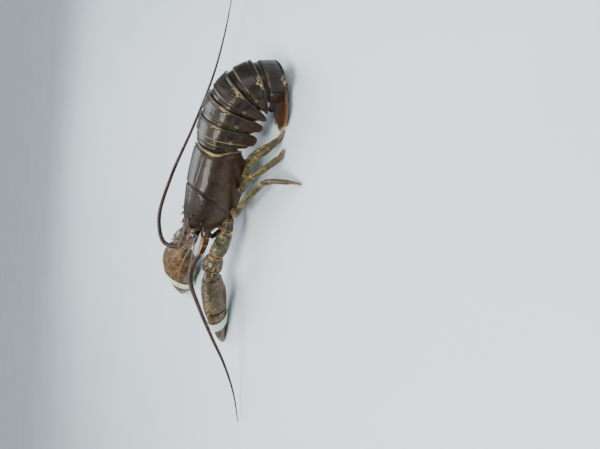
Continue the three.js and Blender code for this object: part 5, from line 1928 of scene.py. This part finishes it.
def place_lights(scene, settings):
    world = bpy.data.worlds.new("soft_room")
    world.use_nodes = True
    background = world.node_tree.nodes["Background"]
    background.inputs["Color"].default_value = WORLD_COLOUR
    background.inputs["Strength"].default_value = WORLD_STRENGTH
    scene.world = world
    for name, at, size, share, colour in LAMPS:
        lamp = bpy.data.lights.new(name, "AREA")
        lamp.shape = "DISK"
        lamp.size, lamp.energy, lamp.color = size, settings.light * share, colour
        rig = new_object(name, lamp)
        rig.location = at
        rig.rotation_mode = "QUATERNION"
        rig.rotation_quaternion = (LAMP_AIM - Vector(at)).to_track_quat("-Z", "Y")
    even = bpy.data.lights.new("even_daylight", "SUN")
    even.energy, even.angle = settings.daylight, 1.2
    new_object("even_daylight", even).rotation_euler = (math.radians(12), math.radians(-18), 0)


class MakeStage(bpy.types.Operator):
    """Pale floor, soft light and the photograph's camera"""

    bl_idname = "lobster.stage"
    bl_label = "Stage"

    def execute(self, context):
        scene = context.scene
        mesh = bpy.data.meshes.new("floor")
        mesh.from_pydata([(-20, -20, 0), (20, -20, 0), (20, 20, 0), (-20, 20, 0)], [], [(0, 1, 2, 3)])
        mesh.materials.append(material("floor"))
        floor = new_object("floor", mesh)
        place_camera(scene)
        place_lights(scene, scene.lobster_stage)
        return {"FINISHED"}


class LobsterPanel(bpy.types.Panel):
    bl_idname = "VIEW3D_PT_lobster"
    bl_label = "Lobster"
    bl_space_type = "VIEW_3D"
    bl_region_type = "UI"
    bl_category = "Lobster"

    def draw(self, context):
        column, scene = self.layout.column(), context.scene
        for settings in (scene.lobster_shell, scene.lobster_limbs, scene.lobster_stage):
            for key in settings.bl_rna.properties.keys():
                if key not in {"rna_type", "name"}:
                    column.prop(settings, key)
        for operator in OPERATORS:
            column.operator(operator.bl_idname)


OPERATORS = (
    MakeStage,
    MakeCarapace,
    MakeUnderside,
    MakeEyes,
    MakeFeelers,
    MakeAbdomen,
    MakeTailFan,
    MakeClaws,
    MakeLegs,
)
CLASSES = (LobsterShellSettings, LobsterLimbSettings, LobsterStageSettings, *OPERATORS, LobsterPanel)


def register():
    for kind in CLASSES:
        bpy.utils.register_class(kind)
    bpy.types.Scene.lobster_shell = bpy.props.PointerProperty(type=LobsterShellSettings)
    bpy.types.Scene.lobster_limbs = bpy.props.PointerProperty(type=LobsterLimbSettings)
    bpy.types.Scene.lobster_stage = bpy.props.PointerProperty(type=LobsterStageSettings)


def unregister():
    del bpy.types.Scene.lobster_shell
    del bpy.types.Scene.lobster_limbs
    del bpy.types.Scene.lobster_stage
    for kind in reversed(CLASSES):
        bpy.utils.unregister_class(kind)


def main():
    register()
    bpy.ops.lobster.stage()
    bpy.ops.lobster.carapace()
    bpy.ops.lobster.underside()
    bpy.ops.lobster.eyes()
    bpy.ops.lobster.feelers()
    bpy.ops.lobster.abdomen()
    bpy.ops.lobster.tail_fan()
    bpy.ops.lobster.claws()
    bpy.ops.lobster.legs()
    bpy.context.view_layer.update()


if __name__ == "__main__":
    main()
